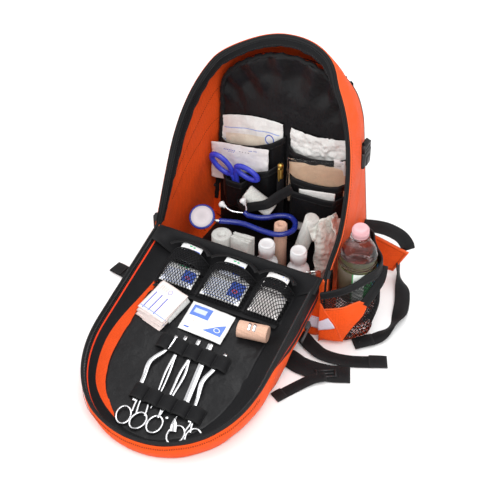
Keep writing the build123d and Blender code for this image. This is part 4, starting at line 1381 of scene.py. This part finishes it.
def blade(points, widths, thickness=0.0016, sides=40):
    """Tapered flat blade through (u, v, h) points on the lid lining."""
    path = spline([on_rim_plane(u, v, LINING_H + h) for u, v, h in points], sides)
    verts, uvs = [], []
    count = len(path)
    lift = LID_TURN.to_3x3() @ Vector((0, 0, 1))
    for i, (p, t) in enumerate(zip(path, tangents(path))):
        share = i / (count - 1) * (len(widths) - 1)
        k = min(int(share), len(widths) - 2)
        width = widths[k] + (widths[k + 1] - widths[k]) * (share - k)
        side = t.cross(lift).normalized()
        for a, b in strap_section(width, thickness):
            verts.append(p + side * a + lift * b)
            uvs.append((i / count, a))
    return verts, skin(count - 1, len(strap_section(1, 1))), uvs


def lid_path(points, h=0.004):
    return [on_rim_plane(u, v, LINING_H + h) for u, v in points]


STEEL_H = 0.0045                       # instruments lie this far above the lining


def prongs(line, widths, thickness):
    """Two sprung arms: each point is (u, v, half gap, rise) on the lid lining."""
    return join([blade([(u + gap * side, v, STEEL_H + rise) for u, v, gap, rise in line], widths,
                       thickness)
                 for side in (-1, 1)])


def make_instruments():
    """Five slim steel instruments held by both rows of loops."""
    h = STEEL_H
    angled = [blade([(-0.03, 0.165, h), (-0.035, 0.194, h), (-0.0465, 0.221, h + 0.002),
                     (-0.043, 0.25, h), (-0.038, 0.29, h)],
                    (0.007, 0.007, 0.008, 0.0075, 0.006), 0.002),
              blade([(0.056, 0.165, h), (0.05, 0.196, h), (0.0445, 0.222, h + 0.002), (0.05, 0.25, h),
                     (0.057, 0.29, h)],
                    (0.007, 0.008, 0.008, 0.006, 0.006), 0.002)]
    piece("angled_spatulas", join(angled), "steel", "lid", ("forceps_set",))
    tweezers = ((-0.016, 0.16, 0, 0), (-0.0165, 0.196, 0.0008, 0), (-0.013, 0.228, 0.003, 0.001),
                (-0.009, 0.262, 0.0022, 0), (-0.008, 0.292, 0, 0))
    piece("fine_tweezers", prongs(tweezers, (0.006, 0.0045, 0.004, 0.0028, 0.0014), 0.0012), "steel",
          "lid")
    forceps = ((0.006, 0.158, 0, 0), (0.007, 0.196, 0.001, 0), (0.0095, 0.222, 0.004, 0.001),
               (0.0105, 0.256, 0.0024, 0), (0.011, 0.296, 0, 0))
    piece("dressing_forceps", prongs(forceps, (0.007, 0.0045, 0.005, 0.004, 0.0022), 0.0016), "steel",
          "lid")
    scalpel = [blade([(0.026, 0.158, h), (0.029, 0.196, h), (0.033, 0.23, h), (0.037, 0.266, h)],
                     (0.01, 0.011, 0.011, 0.011), 0.0024),
               blade([(0.037, 0.262, h), (0.0365, 0.28, h), (0.034, 0.294, h)], (0.003, 0.0025, 0.002),
                     0.002),
               blade([(0.034, 0.292, h), (0.037, 0.3, h + 0.001), (0.041, 0.312, h)],
                     (0.003, 0.01, 0.011), 0.0012)]
    piece("broad_elevator", join(scalpel), "steel", "lid")


RING_V = 0.316                         # finger rings, from the hinge line


def make_ring_instruments():
    """Finger rings of two clamps and a pair of scissors beyond the lower loops."""
    h = 0.004

    def ring(u, v, long=0.0145, broad=0.0112, turn=0.0):
        path = []
        for k in range(42):
            a = 2 * pi * k / 40
            x, y = broad * cos(a), long * sin(a)
            path.append(on_rim_plane(u + x * cos(turn) - y * sin(turn),
                                     v + x * sin(turn) + y * cos(turn), LINING_H + h))
        return sweep(path, round_section(0.0017, 10))

    def shank(points):
        return sweep(spline(lid_path(points, h), 24), round_section(0.0018, 10, 0.8))

    clamps = [ring(-0.041, RING_V, turn=-0.3), ring(-0.016, RING_V, turn=0.3),
              ring(0.01, RING_V - 0.004, turn=0.1),
              shank([(-0.034, 0.27), (-0.034, 0.29), (-0.032, 0.306)]),
              shank([(-0.03, 0.27), (-0.028, 0.29), (-0.024, 0.308)]),
              shank([(-0.018, 0.27), (-0.014, 0.288), (-0.01, 0.306)]),
              shank([(0.006, 0.27), (0.008, 0.288), (0.01, 0.301)])]
    piece("clamp_rings", join(clamps), "steel", "lid", ("ring_instruments",))
    scissors = [ring(0.047, RING_V - 0.001, 0.0155, 0.0122, 0.15),
                ring(0.074, RING_V - 0.006, 0.0155, 0.0122, -0.25),
                shank([(0.058, 0.27), (0.059, 0.29), (0.057, 0.305)]),
                shank([(0.061, 0.27), (0.062, 0.29), (0.066, 0.304)])]
    piece("scissor_rings", join(scissors), "steel", "lid")
    screw = on_lining(0.023, 0.296, 0.006)
    piece("clamp_screw", lathe([(0, 0.0016), (0.002, 0.0012), (0.003, 0), (0.002, -0.001)], screw, 20),
          "steel", "lid")


# ------------------------------------------------------------------ side pockets, bottle and tabs


PLAN_X, PLAN_Y = 0.15, -0.045         # middle of the right pocket in plan
PLAN_RX, PLAN_RY = 0.078, 0.08


def pocket_plan(a, grow=0.0):
    """Plan (x, y) of the right pocket: a runs -90 to 90 degrees from front to back."""
    drawn_in = 0.034 * smooth(a, -0.45, 0.6)
    return PLAN_X + (PLAN_RX - drawn_in + grow) * cos(a), PLAN_Y + (PLAN_RY + grow) * sin(a)


def pocket_hem_z(x, y):
    return 0.112 + 0.58 * (x - 0.15) + 0.05 * (y + 0.105)


def pouch_point(a, t, grow=0.0):
    """Point of the right pocket's wall: pulled in at its foot, full at the hem."""
    x, y = pocket_plan(a, grow)
    top = pocket_hem_z(x, y)
    tuck = 1 - 0.13 * (1 - smooth(t, 0.0, 0.45)) + 0.05 * sin(pi * t) * smooth(a, -0.9, 0.0)
    wobble = 0.003 * wave(a * 2, t * 2, 0, 1.6, 6)
    z = 0.004 + (top - 0.004) * t
    lift = 0.01 * sin(a) ** 2 * (1 - t)
    return Vector((PLAN_X + (x - PLAN_X) * tuck + wobble, PLAN_Y + (y - PLAN_Y) * (0.94 + 0.06 * tuck),
                   z + lift))


def make_side_pocket():
    """Net pouch with a bound rim, an orange reinforcing panel and a webbing tab."""
    first, last = -pi / 2 * 0.99, pi / 2 * 0.99

    def mesh_wall(s, t):
        return pouch_point(first + (last - first) * s, t)

    net("side_net", mesh_wall, 84, 38, 0.0021, "pack", ("side_pocket_right",))

    def binding(s, t):
        return pouch_point(first + (last - first) * s, 1.0 - 0.13 * t, 0.0012)

    sheet("side_pocket_binding", binding, (80, 4), "tape", "pack", 0.0022, (0.25, 0.015))
    stitches("side_binding_stitch", [pouch_point(first + (last - first) * k / 79, 0.885,
                                                 0.0028) for k in range(80)],
             "thread_grey", "pack", 0.0038, FINE_THREAD)

    def seam(t):
        """Where the gusset meets the panel: at the wall near the hem, 32 degrees round at the foot."""
        return first + radians(32) * (1 - t / 0.8)

    def gusset(s, t):
        """Orange gusset that carries the front wall on round the foot of the pocket."""
        t *= 0.8
        return pouch_point(first + (seam(t) - first) * s, t, 0.0022)

    def panel(s, t):
        """Orange panel: a point at the foot, widening up to its stitched top edge."""
        t *= 0.66
        far = seam(0) + radians(22) * min(t / 0.56, 1.0) - radians(9) * smooth(t, 0.57, 0.66)
        return pouch_point(seam(t) + (far - seam(t)) * s, t, 0.0026)

    def strip(s, t):
        t = 0.2 + 0.08 * s + 0.2 * t
        return pouch_point(first + (seam(t) - 0.03 - first) * s, t, 0.0042)

    sheet("side_pocket_gusset", gusset, (20, 30), "orange", "pack", 0.0018, (0.05, 0.1))
    sheet("side_pocket_panel", panel, (34, 30), "orange", "pack", 0.0018, (0.1, 0.1))
    sheet("side_reflective", strip, (16, 6), "reflective", "pack", 0.001)
    cord("side_panel_fold", [pouch_point(seam(k / 30 * 0.66), k / 30 * 0.66, 0.003) for k in range(31)],
         0.0011,
         "orange", "pack")
    edge = [panel(s, 1.0) for s in (k / 24 for k in range(25))] + [panel(1.0,
                                                                         1.0 - k / 24) for k in range(1,
                                                                                                      25)]
    stitches("side_panel_stitch", [p * 0.9985 + Vector((0.0004, -0.0012, -0.002)) for p in edge],
             "thread_dark",
             "pack", 0.0034, FINE_THREAD)
    line = [pouch_point(first + 0.86, 0.58, 0.0034), pouch_point(first + 1.00, 0.68, 0.0036),
            pouch_point(first + 1.2, 0.8, 0.0036), pouch_point(first + 1.42, 0.91, 0.0032)]
    strap("side_pocket_tab", line, 0.016, 0.0016, "pack", (0.5, -0.8, 0.1))

    def floor_panel(s, t):
        a = first + (last - first) * s
        edge_point = pouch_point(a, 0.0)
        return Vector((PLAN_X, edge_point.y, 0.004)).lerp(edge_point, t)

    sheet("side_pocket_floor", floor_panel, (40, 8), "orange", "pack", 0.0015)


def make_left_pocket():
    """The empty net pouch on the other side, lying flat against the wall."""
    low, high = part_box("side_pocket_left")

    def flat(s, t):
        y = low.y + (high.y - low.y) * s
        z = 0.006 + (0.098 + 0.014 * s) * t
        slack = 0.008 * sin(pi * s) * (0.4 + 0.6 * t) + 0.0015 * wave(y, z, 0, 30, 2)
        half = 0.154 - 0.114 * (y + 0.13) - foot_inset(z)
        return Vector((-half - 0.009 - slack, y, z))

    net("left_net", flat, 48, 36, 0.0018, "pack", ("side_pocket_left",))
    sheet("left_pocket_binding", lambda s, t: flat(s, 1.0 - 0.13 * t) - Vector((0.001, 0, 0)), (40, 4),
          "tape",
          "pack", 0.002)
    sheet("left_pocket_panel", lambda s, t: flat(0.45 * s * (0.45 + 0.55 * t),
                                                 0.62 * t + 0.01) - Vector((0.0014, 0, 0)),
          (24, 20), "orange", "pack", 0.0018)


def make_bottle():
    """Clear drink bottle with ripples, drink inside, label and frosted cap."""
    radius = middle_of("water_bottle")[1].x / 2
    place = foot_of("water_bottle")
    profile = [(0, 0.003), (radius * 0.5, 0.001), (radius - 0.005, 0.0), (radius - 0.001, 0.004),
               (radius, 0.01)]
    profile += [(radius - 0.0012 * (0.5 - 0.5 * cos(2 * pi * k / 6)),
                 0.012 + 0.036 * k / 30) for k in range(31)]
    profile += [(radius - 0.0009, 0.05), (radius - 0.0009, 0.141), (radius, 0.144)]
    profile += [(radius - 0.0008 * (0.5 - 0.5 * cos(2 * pi * k / 6)) - 0.0012 * k / 12,
                 0.145 + 0.008 * k / 12)
                for k in range(13)]
    for k in range(1, 15):
        a = k / 14
        profile.append((0.0125 + (radius - 0.0137) * cos(a * pi / 2) ** 0.85, 0.153 + 0.036 * a))
    profile += [(0.0125, 0.192), (0.015, 0.1925), (0.015, 0.195), (0.012, 0.1955), (0.0118, 0.2)]
    piece("bottle_wall", lathe(profile, place, 72), "bottle", "water_bottle", ("water_bottle",))
    drink = [(0, 0.0035)] + [(r - 0.0012, z) for r, z in profile[3:55]]
    drink.append((0, drink[-1][1]))
    piece("bottle_drink", lathe(drink, place, 64), "drink", "water_bottle")
    label = [(radius - 0.0004, 0.082), (radius + 0.0001, 0.0825), (radius + 0.0001, 0.1395),
             (radius - 0.0004, 0.14)]
    piece("bottle_label", lathe(label, place, 72), "bottle_label", "water_bottle")
    r = middle_of("water_bottle_cap")[1].x / 2 - 0.0022
    place = foot_of("water_bottle_cap")
    cap = [(r - 0.0016, 0.0002), (r - 0.0004, 0.0004), (r - 0.0002, 0.0022), (r - 0.0012, 0.0026),
           (r - 0.0004, 0.0032),
           (r - 0.0004, 0.0128), (r - 0.002, 0.0154), (r - 0.004, 0.0159), (0, 0.0156)]
    shapes = [lathe(cap, place, 60)]
    for k in range(60):
        a = 2 * pi * k / 60
        p = place @ Vector(((r - 0.0005) * cos(a), (r - 0.0005) * sin(a), 0.004))
        shapes.append(sweep([p, p + Vector((0, 0, 0.0084))], round_section(0.0005, 5)))
    piece("bottle_cap_ribbed", join(shapes), "frosted_cap", "water_bottle_cap", ("water_bottle_cap",))


def make_wings():
    """Stitched triangular tabs at the lower back corners."""
    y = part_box("strap_wings")[0].y + 0.0015
    for side, tag in ((-1, "left"), (1, "right")):
        corners = [Vector((side * x, y, z)) for x, z in ((0.128, 0.086), (0.224, 0.062), (0.201, 0.013),
                                                         (0.128, 0.012))]

        def wing(s, t, corners=corners):
            top = corners[0].lerp(corners[1], s)
            low = corners[3].lerp(corners[2], s)
            p = low.lerp(top, t)
            return p + Vector((0, crease(p, 0.0012, 30, 3), 0))

        sheet(f"wing_{tag}", wing, (30, 16), "orange", "pack", 0.003, (0.09, 0.06), 0.0, False,
              ("strap_wings",) if side > 0 else ())
        inset = [(0.06, 0.08), (0.95, 0.08), (0.95, 0.92), (0.06, 0.92)]
        path = [wing(*inset[k]).lerp(wing(*inset[k + 1]), n / 12) + Vector((0, -0.002, 0))
                for k in range(3) for n in range(13)]
        stitches(f"wing_stitch_{tag}", path, "thread_dark", "pack", 0.0034, FINE_THREAD)


def folded_end(name, a, b, width, body, lift=(0, 0, 1)):
    """Sewn fold at the end of a strap: a second layer with a bar of stitches."""
    a, b = Vector(a), Vector(b)
    up = Vector(lift).normalized()
    strap(f"{name}_fold", [a + up * 0.0018, a.lerp(b, 0.5) + up * 0.002, b + up * 0.0012],
          width + 0.0006, 0.0018, body,
          lift, 10)
    side = (b - a).cross(up).normalized() * (width / 2 - 0.002)
    bar = [a - side + up * 0.003, a + side + up * 0.003]
    stitches(f"{name}_bar", even(bar, 8), "thread_grey", body, 0.002, 0.0004)


def make_straps():
    """Shoulder webbing ends, waist belt and ladder lock on the floor."""
    web = 0.025
    loop = [(0.132, 0.079, 0.084), (0.152, 0.081, 0.089), (0.178, 0.082, 0.092), (0.202, 0.083, 0.086),
            (0.215, 0.083, 0.074), (0.219, 0.0835, 0.06)]
    strap("wing_loop_right", loop, web, 0.0016, "pack", (0.0, -0.35, 1.0))
    strap("wing_loop_left", [(-x, y, z) for x, y, z in loop], web, 0.0016, "pack", (0.0, -0.35, 1.0))

    def roll_over(t):
        turn = pi / 2 * (1 - smooth(t, 0.05, 0.3)) - 0.9 * sin(pi * smooth(t, 0.45, 0.85))
        return (sin(turn), 0.1, cos(turn))

    tail = [(0.206, 0.08, 0.03), (0.212, 0.07, 0.014), (0.229, 0.044, 0.0085), (0.243, 0.004, 0.0085),
            (0.247, -0.034, 0.008), (0.234, -0.074, 0.0045), (0.206, -0.101, 0.0022)]
    strap("strap_tail_right", tail, web, 0.0016, "pack", roll_over, 80, stands_for=("strap_tails",))
    folded_end("strap_tail_right", (0.228, -0.083, 0.0036), (0.203, -0.104, 0.0018), web, "pack")
    strap("strap_tail_left", [(-0.206, 0.08, 0.03), (-0.21, 0.068, 0.01), (-0.222, 0.052, 0.0022),
                              (-0.228, 0.03, 0.0016)],
          web, 0.0016, "pack", (0, 0.1, 1), 40)
    upper = [(0.06, -0.13, 0.0016), (0.116, -0.124, 0.003), (0.145, -0.14, 0.006), (0.172, -0.149, 0.005),
             (0.212, -0.141, 0.0022), (0.266, -0.116, 0.0016)]
    strap("belt_upper", upper, web, 0.0016, "pack", (0, 0, 1), 60, stands_for=("waist_belt",))
    folded_end("belt_upper", (0.24, -0.1285, 0.002), (0.266, -0.1165, 0.0016), web, "pack")
    lower = [(0.02, -0.15, 0.0014), (0.08, -0.166, 0.0016), (0.122, -0.176, 0.0022),
             (0.15, -0.184, 0.003),
             (0.19, -0.18, 0.0024), (0.224, -0.166, 0.0016)]
    strap("belt_lower", lower, 0.036, 0.0018, "pack", (0, 0, 1), 60)
    loose = [(0.193, -0.19, 0.006), (0.176, -0.204, 0.005), (0.158, -0.229, 0.0022),
             (0.139, -0.262, 0.0016)]
    strap("belt_loose_end", loose, 0.02, 0.0016, "pack", (0, 0, 1), 40)
    folded_end("belt_loose_end", (0.1475, -0.247, 0.002), (0.139, -0.262, 0.0016), 0.02, "pack")
    left = [(-0.06, -0.13, 0.0016), (-0.13, -0.134, 0.003), (-0.18, -0.128, 0.004),
            (-0.234, -0.118, 0.0018)]
    strap("belt_left", left, web, 0.0016, "pack", (0, 0, 1), 40)
    folded_end("belt_left", (-0.212, -0.122, 0.0026), (-0.234, -0.118, 0.0018), web, "pack")
    make_ladder_lock()


def make_ladder_lock():
    """Frame with three bars, lying on the belt's webbing."""
    middle, size = middle_of("ladder_lock")
    place = at(middle.x, middle.y, middle.z + size.z / 2 - 0.003, 0, 0, -60)
    bars = []
    for x in (-0.0065, 0.0, 0.0065):
        bars.append(sweep([place @ Vector((x, -0.0145, 0)), place @ Vector((x, 0.0145, 0))],
                          round_section(0.0019, 10, 0.8)))
    for y in (-0.015, 0.015):
        bars.append(sweep(spline([place @ Vector((-0.008, y, -0.0004)), place @ Vector((0, y, 0.0008)),
                                  place @ Vector((0.008, y, -0.0004))], 12),
                          round_section(0.0021, 10, 0.9)))
    piece("ladder_lock_frame", join(bars), "black_plastic", "ladder_lock", ("ladder_lock",))


def make_buckle():
    """Side release buckle on the right wall, with its short webbing stubs."""
    low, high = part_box("buckle_female")
    x0, y0 = (low.x + high.x) / 2, (low.y + high.y) / 2
    female = [slab(at(x0, y0, low.z + 0.015, 0, 90, 0), (0.028, 0.027, 0.0096), 0.003),
              slab(at(x0 + 0.0052, y0, low.z + 0.012, 0, 90, 0), (0.016, 0.013, 0.0016), 0.0007)]
    for side in (-1, 1):
        female.append(sweep(spline([(x0, y0 + side * 0.0128, low.z + 0.003),
                                    (x0, y0 + side * 0.0138, low.z + 0.014),
                                    (x0, y0 + side * 0.0122, low.z + 0.028)], 14),
                            round_section(0.0022, 10)))
    piece("buckle_socket", join(female), "black_plastic", "pack", ("buckle_female",))
    low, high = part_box("buckle_male")
    x0, y0 = (low.x + high.x) / 2, (low.y + high.y) / 2
    male = [slab(at(x0, y0, high.z - 0.003, 0, 90, 0), (0.0058, 0.0236, 0.0074), 0.002),
            slab(at(x0, y0, high.z - 0.0105, 0, 90, 0), (0.005, 0.0236, 0.0074), 0.002)]
    for side in (-1, 0, 1):
        male.append(slab(at(x0, y0 + side * 0.008, low.z + 0.01, 0, 90, 0), (0.021, 0.0036, 0.0036),
                         0.001))
    for side in (-1, 1):
        male.append(slab(at(x0, y0 + side * 0.0104, high.z - 0.0065, 0, 90, 0), (0.012, 0.003, 0.0074),
                         0.001))
    piece("buckle_prongs", join(male), "black_plastic", "buckle_male", ("buckle_male",))
    face = low.x - 0.003
    strap("buckle_stub_low", [(face, y0, 0.196), (face + 0.001, y0, 0.214), (x0 - 0.002, y0, 0.232),
                              (x0, y0, 0.24)], 0.019,
          0.0016, "pack", (1, 0, 0.1), 20)
    strap("buckle_stub_high", [(x0 - 0.001, y0, high.z - 0.006), (x0 - 0.004, y0, high.z + 0.001),
                               (x0 - 0.001, y0, high.z + 0.005),
                               (x0 + 0.002, y0, high.z - 0.004)], 0.016, 0.0014, "buckle_male",
          (1, 0, 0.2), 20)


def make_reflective():
    """Reflective strips sewn round the lower front corners."""
    for side, tag in ((-1, "left"), (1, "right")):
        def strip(s, t, side=side):
            z = 0.022 + 0.023 * t
            x = side * (0.094 + 0.052 * s)
            y = FOOT_Y + (HINGE.y - FOOT_Y) * z / HINGE.z
            return Vector((x, y - 0.0046 * sin(pi * min((0.151 + x * side) / 0.302, 1)) ** 0.6 - 0.003,
                           z))

        sheet(f"reflective_{tag}", strip, (20, 6), "reflective", "pack", 0.001, (1, 1), 0.0, False,
              ("reflective_strips",) if side > 0 else ())
        for t in (0.06, 0.94):
            stitches(f"reflective_stitch_{tag}_{round(t * 100)}",
                     [strip(k / 20, t) + Vector((0, -0.0008, 0)) for k in range(21)],
                     "thread_orange", "pack", 0.0034, FINE_THREAD)


# ------------------------------------------------------------------ back of the pack


def swell(made, voxel, pressure, cap):
    """Cloth under pressure: remesh, blow up for 20 frames, cap each point's travel, apply."""
    remesh = made.modifiers.new("remesh", "REMESH")
    remesh.voxel_size = voxel
    apply_modifiers(made)
    rest = [v.co.copy() for v in made.data.vertices]
    cloth = made.modifiers.new("cloth", "CLOTH")
    cloth.settings.use_pressure = True
    cloth.settings.uniform_pressure_force = pressure
    cloth.settings.quality = 6
    cloth.settings.tension_stiffness = 20
    cloth.settings.compression_stiffness = 20
    cloth.settings.bending_stiffness = 0.4
    cloth.settings.effector_weights.gravity = 0.0
    cloth.point_cache.frame_start = 1
    cloth.point_cache.frame_end = 20
    for number in range(1, 21):
        bpy.context.scene.frame_set(number)
    apply_modifiers(made)
    for vertex, start in zip(made.data.vertices, rest):
        move = vertex.co - start
        if move.length > cap:
            vertex.co = start + move.normalized() * cap
    bpy.context.scene.frame_set(1)
    for polygon in made.data.polygons:
        polygon.use_smooth = True
    return soften(made)


def apply_modifiers(made):
    """Replace the mesh by its evaluated self and drop the modifiers."""
    evaluated = made.evaluated_get(bpy.context.evaluated_depsgraph_get())
    mesh = bpy.data.meshes.new_from_object(evaluated)
    made.modifiers.clear()
    made.data = mesh


def make_back_pad():
    """Padded back panel: three cushions between sewn channels."""
    low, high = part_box("back_pad")
    half = (high.x - low.x) / 2
    cells = ((low.z + 0.004, 0.14), (0.146, 0.244), (0.25, high.z - 0.006))
    for k, (z0, z1) in enumerate(cells):
        def cushion(s, t, z0=z0, z1=z1):
            a = 2 * pi * s
            cx, cz = cos(a), sin(a)
            power = 0.28
            x = abs(cx) ** power * (1 if cx > 0 else -1)
            z = abs(cz) ** power * (1 if cz > 0 else -1)
            mid, reach = (z0 + z1) / 2, (z1 - z0) / 2
            height = mid + z * reach
            wide = half - 0.004
            if height > 0.19:
                wide *= arch_width((height - 0.19) / (high.z + 0.012 - 0.19), 2.2)
            ring = sin(pi * t) ** 0.35
            y = low.y + 0.0025 + 0.008 * t
            return Vector((x * wide * ring, y, mid + (height - mid) * ring))

        shape = grid(cushion, 48, 12, (1, 1), True)
        pad = piece(f"back_cushion_{k}", shape, "padding", "pack", ("back_pad",) if k == 0 else ())
        swell(pad, 0.005, 3.0, 0.006)

    def ground(s, t):
        return Vector((0, BACK_Y, 0.18)).lerp(closed(rear_edge, s), t) + Vector((0, 0.0014, 0.001))

    sheet("back_cloth", ground, (140, 16), "tape", "pack", 0.0014, (1, 1), 0.0)
    cord("back_piping", [rear_edge(k / 159) + Vector((0, 0.001, 0.0006)) for k in range(160)], 0.0028,
         "tape", "pack")


def make_shoulder_straps():
    """Padded shoulder straps with a webbing run down the middle and bars of stitches."""
    for side, tag in ((-1, "left"), (1, "right")):
        body = f"shoulder_strap_{tag}"
        top = Vector((side * 0.062, 0.119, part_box(body)[1].z - 0.0055))
        turn = Matrix.Rotation(radians(-side * 5), 3, "Y")
        fall = ((0, 0, 0), (0, 0.012, -0.07), (0, 0.014, -0.15), (0, 0.005, -0.232))
        line = [top + turn @ Vector(q) for q in fall]
        path = spline(line, 40)
        half = 0.0265
        section = [(half * cos(2 * pi * k / 24), 0.0046 * sin(2 * pi * k / 24)) for k in range(24)]
        section = [((abs(a) / half) ** 0.45 * half * (1 if a > 0 else -1), b) for a, b in section]
        pad = piece(f"strap_pad_{tag}", sweep(path, section, (0, 1, 0.2)), "padding", body, (body,))
        swell(pad, 0.004, 3.0, 0.0045)
        outer = [p + Vector((0, 0.0088, 0.003)) for p in path]
        strap(f"strap_web_{tag}", outer[::4], 0.025, 0.0016, body, (0, 1, 0.2))
        for k in (8, 20, 32):
            bar = [outer[k] + Vector((x, 0.0012, 0)) for x in (-0.011, -0.004, 0.004, 0.011)]
            stitches(f"strap_bar_{tag}_{k}", bar, "thread_grey", body, 0.0022, 0.0004)


def make_grab_handle():
    """Loop of webbing that droops over the top of the back pad."""
    hinge = Vector((0, 0.1065, 0.356))
    droop = radians(-130)
    path = []
    for k in range(33):
        a = pi * k / 32
        x, z = 0.03 * cos(a), 0.034 * sin(a)
        path.append(hinge + Vector((x, -z * sin(droop), z * cos(droop))))
    strap("grab_handle_web", path, 0.014, 0.0034, "grab_handle", (0, -sin(droop), cos(droop)), 50,
          stands_for=("grab_handle",))


def make_zips():
    """Sliders and pulls keep their CAD shapes, with a metal finish."""
    for node in ("zip_slider_left", "zip_slider_right", "zip_pull_left", "zip_pull_right",
                 "pocket_zip_slider",
                 "pocket_zip_pull"):
        finish_node(node, "enamel")


# ------------------------------------------------------------------ studio


FLOOR_REACH = 12.0
FLOOR_GREY = 0.93
WORLD_STRENGTH = 0.78


def make_studio():
    """Plain pale floor, white surroundings and three soft lamps."""
    bpy.context.scene.view_settings.view_transform = "Standard"
    floor = bpy.data.materials.new("studio_floor")
    floor.use_nodes = True
    finish = floor.node_tree.nodes["Principled BSDF"].inputs
    finish["Base Color"].default_value = (FLOOR_GREY, FLOOR_GREY, FLOOR_GREY, 1)
    finish["Roughness"].default_value = 0.9
    mesh = bpy.data.meshes.new("studio_floor")
    corners = [(x * FLOOR_REACH, y * FLOOR_REACH, 0) for x, y in ((-1, -1), (1, -1), (1, 1), (-1, 1))]
    mesh.from_pydata(corners, [], [(0, 1, 2, 3)])
    mesh.materials.append(floor)
    ground = bpy.data.objects.new("studio_floor", mesh)
    bpy.context.scene.collection.objects.link(ground)
    world = bpy.data.worlds.new("studio")
    world.use_nodes = True
    world.node_tree.nodes["Background"].inputs[0].default_value = (1.0, 1.0, 1.0, 1)
    world.node_tree.nodes["Background"].inputs[1].default_value = WORLD_STRENGTH
    bpy.context.scene.world = world
    # name, place, aim, size in metres, watts
    lights = (
        ("key", (0.9, -1.3, 2.0), (0, -0.15, 0.15), 1.4, 34),
        ("fill", (-1.6, -1.2, 1.4), (0, -0.15, 0.15), 1.6, 16),
        ("top", (0.1, 0.5, 2.2), (0, -0.1, 0.2), 1.4, 18),
    )
    for name, place, aim, size, power in lights:
        lamp = bpy.data.lights.new(name, "AREA")
        lamp.size = size
        lamp.energy = power
        made = bpy.data.objects.new(name, lamp)
        made.location = place
        made.rotation_euler = (Vector(aim) - Vector(place)).to_track_quat("-Z", "Y").to_euler()
        bpy.context.scene.collection.objects.link(made)


def make_camera():
    """Camera above the front right corner: 26.5 degrees round and 42 degrees up."""
    target = Vector((0.069, -0.205, 0.232))
    azimuth, height, distance = radians(26.5), radians(42), 1.7
    offset = Vector((sin(azimuth) * cos(height), -cos(azimuth) * cos(height), sin(height))) * distance
    lens = bpy.data.cameras.new("camera")
    lens.lens = 84.5
    camera = bpy.data.objects.new("camera", lens)
    camera.location = target + offset
    camera.rotation_euler = (-offset).to_track_quat("-Z", "Y").to_euler()
    bpy.context.scene.collection.objects.link(camera)
    bpy.context.scene.camera = camera


for make in (
    make_body, make_body_rim, make_back_lining, make_organiser, make_back_kit, make_shears,
    make_bottom_kit, make_lid_shell, make_lid_rim, make_lid_lining, make_lid_pockets,
    make_lid_packs, make_instrument_loops, make_instruments, make_ring_instruments,
    make_side_pocket, make_left_pocket, make_bottle, make_wings, make_straps, make_buckle,
    make_reflective, make_back_pad, make_shoulder_straps, make_grab_handle, make_zips,
    make_studio, make_camera,
):
    make()
